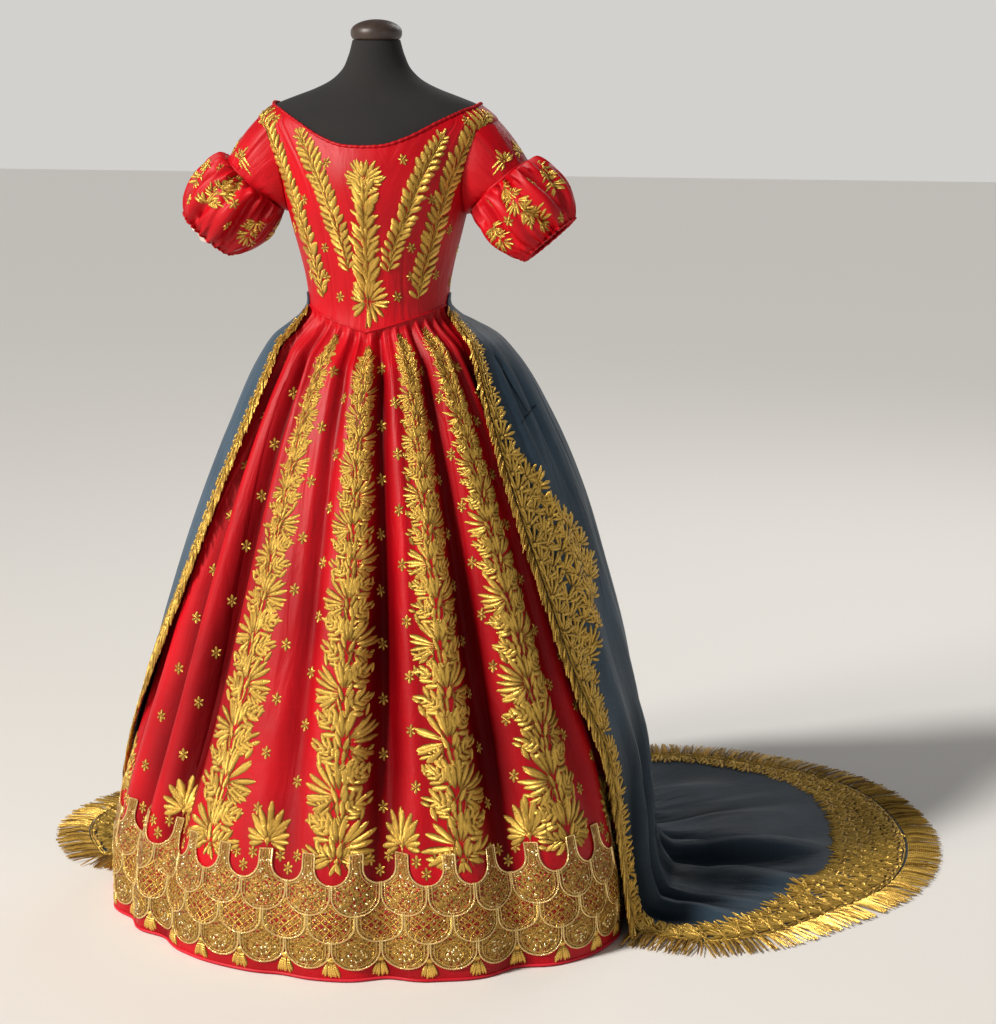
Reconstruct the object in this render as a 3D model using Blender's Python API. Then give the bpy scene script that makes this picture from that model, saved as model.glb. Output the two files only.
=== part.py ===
"""Court dress with a fringed train, worn by a limbless dress form.

Metres, +Z up. The dress faces -Y and +X is the wearer's left. The origin is the middle of the
stand's base, on the floor. Angles round the body are degrees from centre front: +90 is the
wearer's left side, 180 is centre back. Every cloth piece is a wall between an outer and an
inner grid of points, and the grids come from the short tables of sections and folds below.
"""
import math
from collections import namedtuple

import bmesh
import bpy
import numpy as np

# Cloth and seams
WALL = 0.0020
SEAM = 0.0003
LAP = 0.0005

# Waist: level at the sides and back, with a point at centre front
WAIST_Z = 0.985
POINT_DROP = 0.045
POINT_REACH = 77.0
POINT_CURVE = 1.3

# Skirt
GATHERS = 40
GATHER_DEPTH = 0.006
GATHER_FADE = 0.11
HEM_BAND_TOP = 0.175
HEM_BAND_RISE = 0.002
VINE_RISE = 0.0015
VINE_HALF_WIDTH = 5.5
FLARE_START = 0.06

# Armhole, as an opening between two heights in the side of the bodice
ARMHOLE_FROM = 62.0
ARMHOLE_TO = 118.0
ARMHOLE_LOW = 1.128
ARMHOLE_HIGH = 1.268
YOKE_SHARE = 0.88

# Sleeves: the wearer's left one, mirrored for the right
SLEEVE_END = (0.199, -0.004, 1.175)
SLEEVE_DIRECTION = (0.66, -0.05, -0.75)
SLEEVE_END_RADIUS = 0.050
PUFF_RADIUS = 0.080
PUFF_LOBES = 7
PUFF_LOBE_DEPTH = 0.10
PUFF_COLUMNS = 28

# Train
TRAIN_COLUMNS = 38
TRAIN_SEAMS = (13, 25)
REACH_LEFT = 75.0
REACH_RIGHT = 263.0

# Fringe
FRINGE_LENGTH = 0.058
FRINGE_NECK = 0.012
STRIP_WIDTH = 0.005
STRIP_THICK = 0.0032
FRINGE_FLOOR = 0.0008
FRINGE_PITCH = 0.033

# Dress form
FORM_CLEAR = 0.0048
FORM_WAIST_CLEAR = 0.0029
FORM_HIP_CLEAR = 0.012
POLE_RADIUS = 0.016
BASE_RADIUS = 0.160
BASE_THICK = 0.012

Section = namedtuple("Section", "z side front back")

# Half width, front depth and back depth of the body under the bodice
TORSO = [
    Section(0.840, 0.150, 0.112, 0.118),
    Section(0.880, 0.140, 0.108, 0.108),
    Section(0.920, 0.127, 0.102, 0.097),
    Section(0.950, 0.118, 0.097, 0.088),
    Section(0.985, 0.112, 0.092, 0.082),
    Section(1.020, 0.115, 0.097, 0.084),
    Section(1.060, 0.1235, 0.107, 0.090),
    Section(1.100, 0.134, 0.119, 0.098),
    Section(1.140, 0.144, 0.127, 0.104),
    Section(1.180, 0.154, 0.1285, 0.107),
    Section(1.220, 0.170, 0.119, 0.106),
    Section(1.250, 0.185, 0.104, 0.100),
    Section(1.272, 0.1905, 0.090, 0.092),
    Section(1.297, 0.162, 0.066, 0.074),
]

# The form above the neckline: shoulder slope and neck
NECK = [
    Section(1.306, 0.130, 0.058, 0.066),
    Section(1.317, 0.100, 0.053, 0.059),
    Section(1.329, 0.075, 0.050, 0.054),
    Section(1.345, 0.056, 0.046, 0.050),
    Section(1.368, 0.044, 0.041, 0.043),
    Section(1.392, 0.037, 0.037, 0.037),
]

# Outer envelope of the skirt, without its folds
BELL = [
    Section(0.00, 0.458, 0.390, 0.480),
    Section(0.10, 0.452, 0.388, 0.475),
    Section(0.20, 0.430, 0.372, 0.460),
    Section(0.30, 0.400, 0.345, 0.430),
    Section(0.40, 0.368, 0.318, 0.400),
    Section(0.50, 0.336, 0.290, 0.370),
    Section(0.60, 0.302, 0.260, 0.335),
    Section(0.70, 0.266, 0.228, 0.295),
    Section(0.80, 0.226, 0.192, 0.250),
    Section(0.87, 0.194, 0.160, 0.210),
    Section(0.92, 0.166, 0.135, 0.175),
    Section(0.96, 0.140, 0.112, 0.140),
    Section(0.99, 0.114, 0.094, 0.095),
]

Fold = namedtuple("Fold", "waist hem width at_hip at_knee at_hem")

# Troughs of the skirt: angle at the waist and hem, half width in degrees, depths in metres
FOLDS = [
    Fold(-70, -73, 4.0, 0.009, 0.014, 0.015),
    Fold(-52, -57, 4.5, 0.010, 0.017, 0.022),
    Fold(-36, -43, 5.5, 0.016, 0.030, 0.030),
    Fold(-26, -33, 3.5, 0.006, 0.007, 0.004),
    Fold(-8, -10, 3.6, 0.008, 0.011, 0.010),
    Fold(11, 11, 4.6, 0.016, 0.030, 0.026),
    Fold(21, 21, 3.5, 0.004, 0.004, 0.004),
    Fold(34, 38, 5.0, 0.015, 0.028, 0.030),
    Fold(47, 58, 4.5, 0.009, 0.016, 0.016),
    Fold(66, 76, 5.0, 0.010, 0.014, 0.012),
    Fold(95, 98, 9.0, 0.012, 0.017, 0.014),
    Fold(123, 124, 9.5, 0.014, 0.020, 0.017),
    Fold(152, 151, 9.5, 0.015, 0.021, 0.018),
    Fold(181, 180, 9.5, 0.015, 0.022, 0.019),
    Fold(210, 211, 9.5, 0.014, 0.020, 0.018),
    Fold(238, 238, 9.5, 0.013, 0.018, 0.016),
    Fold(265, 264, 8.5, 0.010, 0.015, 0.013),
]

Vine = namedtuple("Vine", "waist knee hem")

# Centre lines of the embroidered vines down the skirt
VINES = [
    Vine(2.5, 2.2, 1.5),
    Vine(26.0, 26.0, 26.0),
    Vine(50.0, 51.0, 53.0),
    Vine(-21.5, -25.5, -27.5),
    Vine(-53.0, -57.0, -62.0),
]

Edge = namedtuple("Edge", "z left right")

# Front edges of the train, degrees from centre front on the wearer's left and right
TRAIN_FRONT = [
    Edge(0.00, 71.0, 264.0),
    Edge(0.16, 71.5, 268.0),
    Edge(0.25, 72.5, 273.5),
    Edge(0.31, 70.0, 279.0),
    Edge(0.38, 67.5, 286.0),
    Edge(0.45, 64.5, 291.0),
    Edge(0.565, 62.5, 297.5),
    Edge(0.66, 60.5, 300.5),
    Edge(0.75, 60.0, 304.0),
    Edge(0.82, 60.5, 305.5),
    Edge(0.90, 65.0, 305.0),
    Edge(0.965, 76.0, 296.0),
    Edge(1.00, 86.0, 290.0),
]

Stand = namedtuple("Stand", "z left back right")

# How far the train stands off the skirt's envelope
STANDOFF = [
    Stand(0.00, 0.014, 0.024, 0.013),
    Stand(0.18, 0.013, 0.028, 0.013),
    Stand(0.30, 0.013, 0.031, 0.013),
    Stand(0.42, 0.028, 0.037, 0.013),
    Stand(0.55, 0.038, 0.043, 0.014),
    Stand(0.68, 0.047, 0.049, 0.014),
    Stand(0.80, 0.046, 0.048, 0.012),
    Stand(0.895, 0.038, 0.040, 0.012),
    Stand(0.925, 0.030, 0.032, 0.011),
    Stand(0.95, 0.020, 0.022, 0.009),
    Stand(0.97, 0.010, 0.011, 0.006),
    Stand(0.985, 0.0020, 0.0020, 0.0020),
    Stand(1.00, 0.0019, 0.0019, 0.0019),
]
EDGE_STANDOFF = 0.0075
SHARE_LEFT = 0.18
SHARE_BACK = 0.50
SHARE_RIGHT = 0.92

Reach = namedtuple("Reach", "angle reach")

# Edge of the train's cloth on the floor: angle and distance from the origin
OUTLINE = [
    Reach(75, 0.560),
    Reach(80, 0.630),
    Reach(90, 0.725),
    Reach(100, 0.835),
    Reach(110, 0.912),
    Reach(120, 0.962),
    Reach(131, 0.992),
    Reach(142, 0.960),
    Reach(152, 0.900),
    Reach(160, 0.825),
    Reach(170, 0.745),
    Reach(182, 0.675),
    Reach(200, 0.620),
    Reach(222, 0.630),
    Reach(237, 0.655),
    Reach(250, 0.625),
    Reach(263, 0.520),
]

Ridge = namedtuple("Ridge", "share width height peak")

# Folds of the train: place and width as shares of its breadth, height on the floor
RIDGES = [
    Ridge(0.070, 0.018, 0.016, 0.30),
    Ridge(0.135, 0.022, 0.026, 0.35),
    Ridge(0.205, 0.020, 0.032, 0.40),
    Ridge(0.275, 0.024, 0.030, 0.30),
    Ridge(0.350, 0.022, 0.036, 0.25),
    Ridge(0.425, 0.022, 0.030, 0.30),
    Ridge(0.500, 0.022, 0.028, 0.25),
    Ridge(0.580, 0.024, 0.030, 0.30),
    Ridge(0.665, 0.024, 0.026, 0.30),
    Ridge(0.750, 0.022, 0.022, 0.35),
    Ridge(0.840, 0.024, 0.018, 0.35),
]

Level = namedtuple("Level", "angle z")

# Height of the neck edge round the body
NECK_EDGE = [
    Level(0, 1.222),
    Level(12, 1.224),
    Level(22, 1.235),
    Level(35, 1.261),
    Level(52, 1.283),
    Level(70, 1.293),
    Level(90, 1.297),
    Level(115, 1.290),
    Level(140, 1.268),
    Level(160, 1.252),
    Level(180, 1.246),
]

Share = namedtuple("Share", "height angle")

# Princess seam: angle against the share of the bodice's height
PRINCESS = [
    Share(0.00, 31.0),
    Share(0.25, 29.0),
    Share(0.50, 28.5),
    Share(0.75, 36.0),
    Share(1.00, 47.0),
]

Colour = namedtuple("Colour", "name red green blue roughness metallic")

RED = Colour("red_silk", 0.52, 0.005, 0.015, 0.5, 0.0)
BLUE = Colour("slate_blue_silk", 0.035, 0.055, 0.085, 0.55, 0.0)
GOLD = Colour("gold_bullion", 0.50, 0.30, 0.06, 0.4, 0.8)
WHITE = Colour("white_lining", 0.75, 0.70, 0.62, 0.7, 0.0)
BLACK = Colour("black_cover", 0.012, 0.009, 0.008, 0.8, 0.0)
CAP = Colour("brown_cap", 0.06, 0.04, 0.035, 0.6, 0.0)
STEEL = Colour("dark_steel", 0.05, 0.05, 0.05, 0.4, 0.8)


def read(rows, name, at, key="z"):
    """Smooth curve through one column: a cubic between rows, with slopes from the neighbours."""
    places = np.array([getattr(row, key) for row in rows], float)
    values = np.array([getattr(row, name) for row in rows], float)
    slopes = np.gradient(values, places)
    at = np.clip(np.asarray(at, float), places[0], places[-1])
    low = np.clip(np.searchsorted(places, at) - 1, 0, len(places) - 2)
    step = places[low + 1] - places[low]
    t = (at - places[low]) / step
    return (
        (2 * t**3 - 3 * t**2 + 1) * values[low]
        + (t**3 - 2 * t**2 + t) * step * slopes[low]
        + (3 * t**2 - 2 * t**3) * values[low + 1]
        + (t**3 - t**2) * step * slopes[low + 1]
    )


def ease(t):
    """Smooth step from 0 to 1."""
    t = np.clip(t, 0.0, 1.0)
    return t * t * (3 - 2 * t)


def wrapped(angle):
    """Angle brought to the range from -180 to 180 degrees."""
    return (np.asarray(angle, float) + 180.0) % 360.0 - 180.0


def oval(angle, z, side, front, back, out):
    """Point on a section: two half ellipses, moved out along the ellipse's own normal."""
    turn = np.radians(angle)
    sine = np.sin(turn)
    cosine = np.cos(turn)
    depth = np.where(cosine > 0, front, back)
    normal = np.stack([depth * sine, -side * cosine], axis=-1)
    normal /= np.linalg.norm(normal, axis=-1, keepdims=True)
    x = side * sine + normal[..., 0] * out
    y = -depth * cosine + normal[..., 1] * out
    return np.stack([x, y, z + 0 * x], axis=-1)


def torso(angle, z, out):
    """Point of the body's surface."""
    sizes = [read(TORSO, name, z) for name in ("side", "front", "back")]
    return oval(angle, z, *sizes, out)


def waist_line(angle):
    """Height of the waist seam: level, dipping to the point at centre front."""
    near = np.clip(1 - np.abs(wrapped(angle)) / POINT_REACH, 0, 1)
    return WAIST_Z - POINT_DROP * near**POINT_CURVE


def tuck(angle, z):
    """How far the skirt's left side falls in under the weight of the train, low down."""
    round_side = ease((wrapped(angle) - 60) / 20) * ease((155 - wrapped(angle)) / 45)
    return 0.040 * round_side * ease((0.34 - z) / 0.24)


def bell(angle, z, out):
    """Skirt envelope: the body's surface at the waist seam, flaring into the bell below it."""
    share = ease((waist_line(angle) - z) / FLARE_START)
    sizes = []
    for name in ("side", "front", "back"):
        sizes.append(read(TORSO, name, z) * (1 - share) + read(BELL, name, z) * share)
    return oval(angle, z, *sizes, out - tuck(angle, z))


def fold_depth(fold, z):
    """Depth of one trough at a height: none at the seam, then hip, knee and hem values."""
    down = np.clip((WAIST_Z - z) / WAIST_Z, 0, 1)
    upper = fold.at_hip + (fold.at_knee - fold.at_hip) * ease((down - 0.15) / 0.4)
    lower = upper + (fold.at_hem - fold.at_knee) * ease((down - 0.55) / 0.4)
    return lower * ease(down / 0.12)


def folds(angle, z):
    """Sum of the troughs, each a soft groove that wanders from its waist to its hem angle."""
    down = np.clip((WAIST_Z - z) / WAIST_Z, 0, 1)
    total = 0 * (angle + z)
    for fold in FOLDS:
        middle = fold.waist + (fold.hem - fold.waist) * down
        width = fold.width * (0.75 + 0.35 * down)
        away = wrapped(angle - middle) / width
        total = total - fold_depth(fold, z) * np.exp(-away * away)
    return total


def gathers(angle, z):
    """Small pleats under the waist seam that fade out within a hand's breadth."""
    below = np.clip(waist_line(angle) - z, 0, None)
    size = GATHER_DEPTH * ease(below / 0.015) * np.exp(-((below / GATHER_FADE) ** 2))
    return -size * (0.5 + 0.5 * np.cos(np.radians(GATHERS * angle)))


def vine_centre(vine, z):
    """Angle of a vine's middle at a height."""
    down = np.clip((WAIST_Z - z) / WAIST_Z, 0, 1)
    upper = vine.waist + (vine.knee - vine.waist) * ease(down / 0.5)
    return upper + (vine.hem - vine.knee) * ease((down - 0.5) / 0.5)


def relief(angle, z):
    """Raised work on the outer side: the vines and the band at the hem."""
    band = HEM_BAND_RISE * ease((HEM_BAND_TOP - z) / 0.012)
    raised = 0 * (angle + z)
    for vine in VINES:
        away = np.abs(wrapped(angle - vine_centre(vine, z))) / VINE_HALF_WIDTH
        raised = np.maximum(raised, VINE_RISE * ease(3 - 2.4 * away))
    return np.maximum(band, raised * ease((waist_line(angle) - z) / 0.02))


def skirt_points(angle, z, inside=False):
    """Outer or inner point of the skirt's wall."""
    out = folds(angle, z) + gathers(angle, z)
    out = out - WALL if inside else out + relief(angle, z)
    return bell(angle, z, out)


def add_object(name, points, triangles, colour):
    """Mesh object from points and triangles, welded, closed and facing out."""
    work = bmesh.new()
    vertices = [work.verts.new(point) for point in points]
    for triangle in triangles:
        work.faces.new([vertices[index] for index in triangle])
    bmesh.ops.remove_doubles(work, verts=work.verts[:], dist=0.00001)
    bmesh.ops.dissolve_degenerate(work, edges=work.edges[:], dist=0.00001)
    loose = [vertex for vertex in work.verts if not vertex.link_faces]
    bmesh.ops.delete(work, geom=loose, context="VERTS")
    bmesh.ops.recalc_face_normals(work, faces=work.faces[:])
    mesh = bpy.data.meshes.new(name)
    work.to_mesh(mesh)
    work.free()
    mesh.materials.append(material(colour))
    mesh.shade_smooth()
    mesh.set_sharp_from_angle(angle=math.radians(50))
    piece = bpy.data.objects.new(name, mesh)
    bpy.context.scene.collection.objects.link(piece)
    return piece


def material(colour):
    """Principled material for a colour, made once."""
    found = bpy.data.materials.get(colour.name)
    if found:
        return found
    made = bpy.data.materials.new(colour.name)
    made.use_nodes = True
    shader = made.node_tree.nodes["Principled BSDF"]
    shader.inputs["Base Color"].default_value = (colour.red, colour.green, colour.blue, 1)
    shader.inputs["Roughness"].default_value = colour.roughness
    shader.inputs["Metallic"].default_value = colour.metallic
    return made


def wall(name, outer, inner, colour, keep=None, ring=False):
    """Closed wall from matching grids: an outer skin, an inner skin and rims round them.

    A ring's last column of points lies on its first, so it has no rims at its sides.
    """
    rows, columns = outer.shape[:2]
    count = rows * columns
    points = np.concatenate([outer.reshape(-1, 3), inner.reshape(-1, 3)])
    if keep is None:
        keep = np.ones((rows - 1, columns - 1), bool)
    padded = np.pad(keep, 1)
    if ring:
        padded[1:-1, 0] = keep[:, -1]
        padded[1:-1, -1] = keep[:, 0]
    triangles = []
    for row in range(rows - 1):
        for column in range(columns - 1):
            if not keep[row, column]:
                continue
            a = row * columns + column
            b, c, d = a + 1, a + columns + 1, a + columns
            triangles += [(a, b, c), (a, c, d)]
            triangles += [(count + c, count + b, count + a), (count + d, count + c, count + a)]
            sides = [
                (padded[row, column + 1], a, b),
                (padded[row + 1, column + 2], b, c),
                (padded[row + 2, column + 1], c, d),
                (padded[row + 1, column], d, a),
            ]
            for joined, first, second in sides:
                if not joined:
                    triangles.append((first, count + first, second))
                    triangles.append((second, count + first, count + second))
    return add_object(name, points, clean(points, triangles), colour)


def clean(points, triangles):
    """Triangles without those that have shrunk to a line where two rows of points meet."""
    keys = [tuple(np.round(point, 5)) for point in points]
    kept = []
    for triangle in triangles:
        if len({keys[index] for index in triangle}) == 3:
            kept.append(triangle)
    return kept


def grid_normals(grid, closed=False):
    """Unit normals of a grid of points, from the differences along rows and columns."""
    if closed:
        ring = grid[:, :-1]
        across = np.roll(ring, -1, axis=1) - np.roll(ring, 1, axis=1)
        across = np.concatenate([across, across[:, :1]], axis=1)
    else:
        across = np.gradient(grid, axis=1)
    down = np.gradient(grid, axis=0)
    normal = np.cross(down, across)
    return normal / np.linalg.norm(normal, axis=-1, keepdims=True)


def draw_in(grid, guide, left, right):
    """Grid with its first and last columns drawn in by half a seam gap each."""
    grid = grid.copy()
    if left:
        along = guide[:, 1] - guide[:, 0]
        grid[:, 0] += 0.5 * SEAM * along / np.linalg.norm(along, axis=-1, keepdims=True)
    if right:
        along = guide[:, -2] - guide[:, -1]
        grid[:, -1] += 0.5 * SEAM * along / np.linalg.norm(along, axis=-1, keepdims=True)
    return grid


def panel(name, outer, inner, colour, left=True, right=True, keep=None):
    """Wall with a seam gap at its sides."""
    guide = outer
    outer = draw_in(outer, guide, left, right)
    inner = draw_in(inner, guide, left, right)
    return wall(name, outer, inner, colour, keep)


SIDE_ANGLES = (77, 84, 92, 101, 111, 120, 130, 140, 150, 160, 170, 180)
SKIRT_DROPS = (0.0, 0.015, 0.035, 0.060, 0.090)
SKIRT_LEVELS = (0.80, 0.65, 0.49, 0.33, 0.190, 0.165, 0.08, 0.0)


def skirt_grid(first, last):
    """Angles and heights of one skirt panel: rings follow the waist seam, then run level."""
    near = list(range(-75, 76, 3)) + [360 + angle for angle in range(-75, 0, 3)]
    far = list(SIDE_ANGLES) + [360 - angle for angle in SIDE_ANGLES]
    angles = np.array([angle for angle in sorted(set(near + far)) if first <= angle <= last], float)
    seam = waist_line(angles) - 0.5 * SEAM
    rings = [seam - drop for drop in SKIRT_DROPS]
    rings += [0 * angles + level for level in SKIRT_LEVELS]
    heights = np.array(rings)
    return np.broadcast_to(angles, heights.shape), heights


def build_skirt():
    """Five gathered widths, from the pointed waist to the floor."""
    widths = {
        "skirt_front": (-42, 39),
        "skirt_side_left": (39, 111),
        "skirt_back_left": (111, 180),
        "skirt_back_right": (180, 249),
        "skirt_side_right": (249, 318),
    }
    for name, (first, last) in widths.items():
        angle, z = skirt_grid(first, last)
        panel(name, skirt_points(angle, z), skirt_points(angle, z, inside=True), RED)


def armhole(angle):
    """Lower and upper edge of the armhole at an angle; they meet at its two ends."""
    middle = 0.5 * (ARMHOLE_FROM + ARMHOLE_TO)
    away = (np.abs(wrapped(angle)) - middle) / (0.5 * (ARMHOLE_TO - ARMHOLE_FROM))
    open_share = np.sqrt(np.clip(1 - away * away, 0, 1))
    corner = yoke_line(angle)
    low = corner - (corner - ARMHOLE_LOW) * open_share
    high = corner + (ARMHOLE_HIGH - corner) * open_share
    return low, high


def yoke_line(angle):
    """Height of the row where the strap begins."""
    bottom = waist_line(angle)
    return bottom + YOKE_SHARE * (neck_edge(angle) - bottom)


def neck_edge(angle):
    """Height of the neck edge at an angle."""
    return read(NECK_EDGE, "z", np.abs(wrapped(angle)), key="angle")


BODICE_ROWS = (0.0, 0.06, 0.24, 0.43, 0.62, 0.81, 1.0)
YOKE_ROWS = (0.0, 0.35, 0.7, 1.0)
HOLE_ANGLES = (62, 63.2, 66, 71, 77, 84, 90, 96, 103, 109, 114, 116.8, 118)
BACK_ANGLES = (118, 129, 139, 149, 159, 169.5, 180)


def bodice_grid(first, last, rigid):
    """Angles and heights of a bodice panel.

    first and last are the side columns as angle functions of the share of height, and rigid
    gives fixed angles after them. Rows run up to the yoke line, then once more to the neck.
    """
    yoke = np.array(YOKE_ROWS)
    shares = np.concatenate([YOKE_SHARE * np.array(BODICE_ROWS), YOKE_SHARE + (1 - YOKE_SHARE) * yoke])
    columns = [first(shares) + (last(shares) - first(shares)) * step for step in rigid["steps"]]
    columns += [0 * shares + angle for angle in rigid["angles"]]
    angle = np.array(columns).T
    low, high = armhole(angle)
    bottom = waist_line(angle) + 0.5 * SEAM
    rows = np.array(BODICE_ROWS)[:, None]
    count = len(BODICE_ROWS)
    z = np.empty_like(angle)
    z[:count] = bottom[:count] + (low[:count] - bottom[:count]) * rows
    neck = neck_edge(angle[count:])
    z[count:] = high[count:] + (neck - high[count:]) * yoke[:, None]
    hole = z[count] - z[count - 1] > 0.0005
    keep = np.ones((z.shape[0] - 1, z.shape[1] - 1), bool)
    keep[count - 1] = ~(hole[:-1] | hole[1:])
    return angle, z, keep


def princess(shares):
    """Angle of the left princess seam at shares of the bodice's height."""
    return read(PRINCESS, "angle", shares, key="height")


def bodice_panel(name, angle, z, keep):
    """Bodice wall on the body's surface."""
    panel(name, torso(angle, z, 0.0), torso(angle, z, -WALL), RED, keep=keep)


def build_bodice():
    """Five panels: pointed front, two princess sides with the straps, two backs."""
    def mirrored(shares):
        return -princess(shares)

    def hole_start(shares):
        return 0 * shares + ARMHOLE_FROM

    front = bodice_grid(mirrored, princess, {"steps": np.linspace(0, 1, 11), "angles": ()})
    bodice_panel("bodice_front", *front)
    rigid = {"steps": (0.0, 0.33, 0.67), "angles": HOLE_ANGLES[:7]}
    angle, z, keep = bodice_grid(princess, hole_start, rigid)
    bodice_panel("bodice_side_front_left", angle, z, keep)
    bodice_panel("bodice_side_front_right", -angle[:, ::-1], z[:, ::-1], keep[:, ::-1])
    rigid = {"steps": (), "angles": HOLE_ANGLES[6:] + BACK_ANGLES[1:]}
    angle, z, keep = bodice_grid(princess, hole_start, rigid)
    bodice_panel("bodice_back_left", angle, z, keep)
    bodice_panel("bodice_back_right", -angle[:, ::-1], z[:, ::-1], keep[:, ::-1])


def armhole_loop():
    """Edge of the left armhole: angles and heights, from its front end over the top and back."""
    angles = np.array(HOLE_ANGLES)
    low, high = armhole(angles)
    around = np.concatenate([angles, angles[-2:0:-1]])
    heights = np.concatenate([high, low[-2:0:-1]])
    return around, heights


def sleeve_frame():
    """Axis of the sleeve's end and two directions across it: up-outward and forward."""
    axis = np.array(SLEEVE_DIRECTION)
    axis /= np.linalg.norm(axis)
    forward = np.array((0.0, -1.0, 0.0))
    forward -= axis * forward.dot(axis)
    forward /= np.linalg.norm(forward)
    return axis, np.cross(forward, axis), forward


def sleeve_circle(turn, radius, along):
    """Ring across the sleeve's axis: angle turned from up-outward towards the front."""
    axis, up, forward = sleeve_frame()
    centre = np.array(SLEEVE_END) + axis * along
    ring = np.cos(turn)[..., None] * up + np.sin(turn)[..., None] * forward
    return centre + np.asarray(radius)[..., None] * ring


def mirror_x(grid):
    """The same grid on the wearer's right."""
    return grid * np.array((-1.0, 1.0, 1.0))


def both_sides(name, outer, inner, colour):
    """A piece for the wearer's left and its mirror image for the right."""
    wall(name + "_left", outer, inner, colour, ring=True)
    wall(name + "_right", mirror_x(outer), mirror_x(inner), colour, ring=True)


def build_upper_sleeves():
    """Short tapering tube from the armhole's edge to the ring where the puff is gathered on."""
    around, heights = armhole_loop()
    rim = torso(around, heights, LAP)
    middle = rim.mean(axis=0)
    turn = np.arctan2(-(rim[:, 1] - middle[1]) / 0.048, (rim[:, 2] - middle[2]) / 0.070)
    end = sleeve_circle(turn, np.full(len(turn), SLEEVE_END_RADIUS), -0.5 * SEAM)
    spread = rim - middle
    spread[:, 0] = 0
    spread /= np.linalg.norm(spread, axis=-1, keepdims=True)
    wide = sleeve_circle(turn, np.full(len(turn), SLEEVE_END_RADIUS + WALL), -0.5 * SEAM)
    lip = torso_lip(around, heights, spread)
    rings_inner = []
    rings_outer = []
    for share in (0.0, 0.3, 0.65, 1.0):
        bulge = 0.004 * math.sin(math.pi * share) * spread
        rings_inner.append(rim + (end - rim) * share + bulge)
        rings_outer.append(lip + (wide - lip) * share + bulge)
    inner = close_ring(np.array(rings_inner))
    outer = close_ring(np.array(rings_outer))
    both_sides("sleeve_upper", outer, inner, RED)


def torso_lip(around, heights, spread):
    """Armhole edge moved out over the bodice by the thickness of the sleeve."""
    rim = torso(around, heights, LAP)
    moved = rim + spread * WALL
    outward = torso(around, heights, LAP + 0.0003) - rim
    return moved + outward


def close_ring(grid):
    """Grid with its first column repeated at the end."""
    return np.concatenate([grid, grid[:, :1]], axis=1)


PuffRing = namedtuple("PuffRing", "along share")

# The balloon from its gathered top to the cuff: distance along the axis, share of full radius
PUFF_RINGS = [
    PuffRing(0.000, 0.64),
    PuffRing(0.004, 0.82),
    PuffRing(0.028, 0.97),
    PuffRing(0.062, 1.00),
    PuffRing(0.094, 0.86),
    PuffRing(0.112, 0.62),
    PuffRing(0.108, 0.54),
]


def puff_grid(columns):
    """Balloon with lobes between its gathers, its cuff turned in."""
    turn = np.linspace(0, 2 * math.pi, columns, endpoint=False)
    rings = []
    for ring in PUFF_RINGS:
        swell = np.clip((ring.share - 0.5) / 0.5, 0, 1)
        lobes = 1 - PUFF_LOBE_DEPTH * swell * (0.5 - 0.5 * np.cos(PUFF_LOBES * turn))
        radius = PUFF_RADIUS * ring.share * lobes
        rings.append(sleeve_circle(turn, radius, ring.along + 0.5 * SEAM))
    return close_ring(np.array(rings))


def build_puffs():
    """Balloon sleeves, and the white lining that shows in the wearer's right cuff."""
    outer = puff_grid(PUFF_COLUMNS)
    normal = grid_normals(outer, closed=True)
    centre = np.array(SLEEVE_END) + sleeve_frame()[0] * 0.055
    facing = np.sign(np.sum(normal[3, 0] * (outer[3, 0] - centre)))
    inner = outer - facing * normal * WALL
    axis = sleeve_frame()[0]
    first = inner[0] - outer[0]
    inner[0] = outer[0] + first - np.outer(first @ axis, axis)
    both_sides("sleeve_puff", outer, inner, RED)
    turn = np.linspace(0, 2 * math.pi, 17)
    rings_outer = []
    rings_inner = []
    for along, radius in ((0.108, 0.0422), (0.092, 0.0418), (0.070, 0.0424)):
        rings_outer.append(sleeve_circle(turn, np.full(17, radius), along))
        rings_inner.append(sleeve_circle(turn, np.full(17, radius - 0.0012), along))
    outer = np.array(rings_outer)
    inner = np.array(rings_inner)
    wall("sleeve_lining_right", mirror_x(outer), mirror_x(inner), WHITE, ring=True)


TRAIN_LEVELS = (1.0, 0.985, 0.970, 0.950, 0.925, 0.895, 0.80, 0.68, 0.55, 0.42, 0.30, 0.18, 0.09)
FLOOR_SHARES = (0.025, 0.085, 0.20, 0.36, 0.54, 0.72, 0.87, 1.0)
FLOOR_HEIGHTS = (0.040, 0.012, 0.0, 0.0, 0.0, 0.0, 0.0, 0.0)


def standoff(share, z):
    """Distance of the train from the skirt's envelope at a share of its breadth."""
    left = read(STANDOFF, "left", z)
    back = read(STANDOFF, "back", z)
    right = read(STANDOFF, "right", z)
    rim = np.minimum(EDGE_STANDOFF, left)
    value = rim + (left - rim) * ease(share / SHARE_LEFT)
    value = value + (back - left) * ease((share - SHARE_LEFT) / (SHARE_BACK - SHARE_LEFT))
    value = value + (right - back) * ease((share - SHARE_BACK) / (SHARE_RIGHT - SHARE_BACK))
    return value + (rim - right) * ease((share - SHARE_RIGHT) / (1 - SHARE_RIGHT))


def train_angle(share, z):
    """Angle of a train column at a height, between its two front edges."""
    left = read(TRAIN_FRONT, "left", z)
    right = read(TRAIN_FRONT, "right", z)
    return left + (right - left) * share


def train_waves(share, z):
    """Outward swell of the train's folds while it hangs: soft at the waist, deep at the foot."""
    grow = 0.25 + 0.75 * ease((0.95 - z) / 0.75)
    total = 0 * (share + z)
    for ridge in RIDGES:
        away = (share - ridge.share) / ridge.width
        total = total + 0.55 * ridge.height * np.exp(-away * away)
    return total * grow * ease((0.985 - z) / 0.06)


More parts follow.
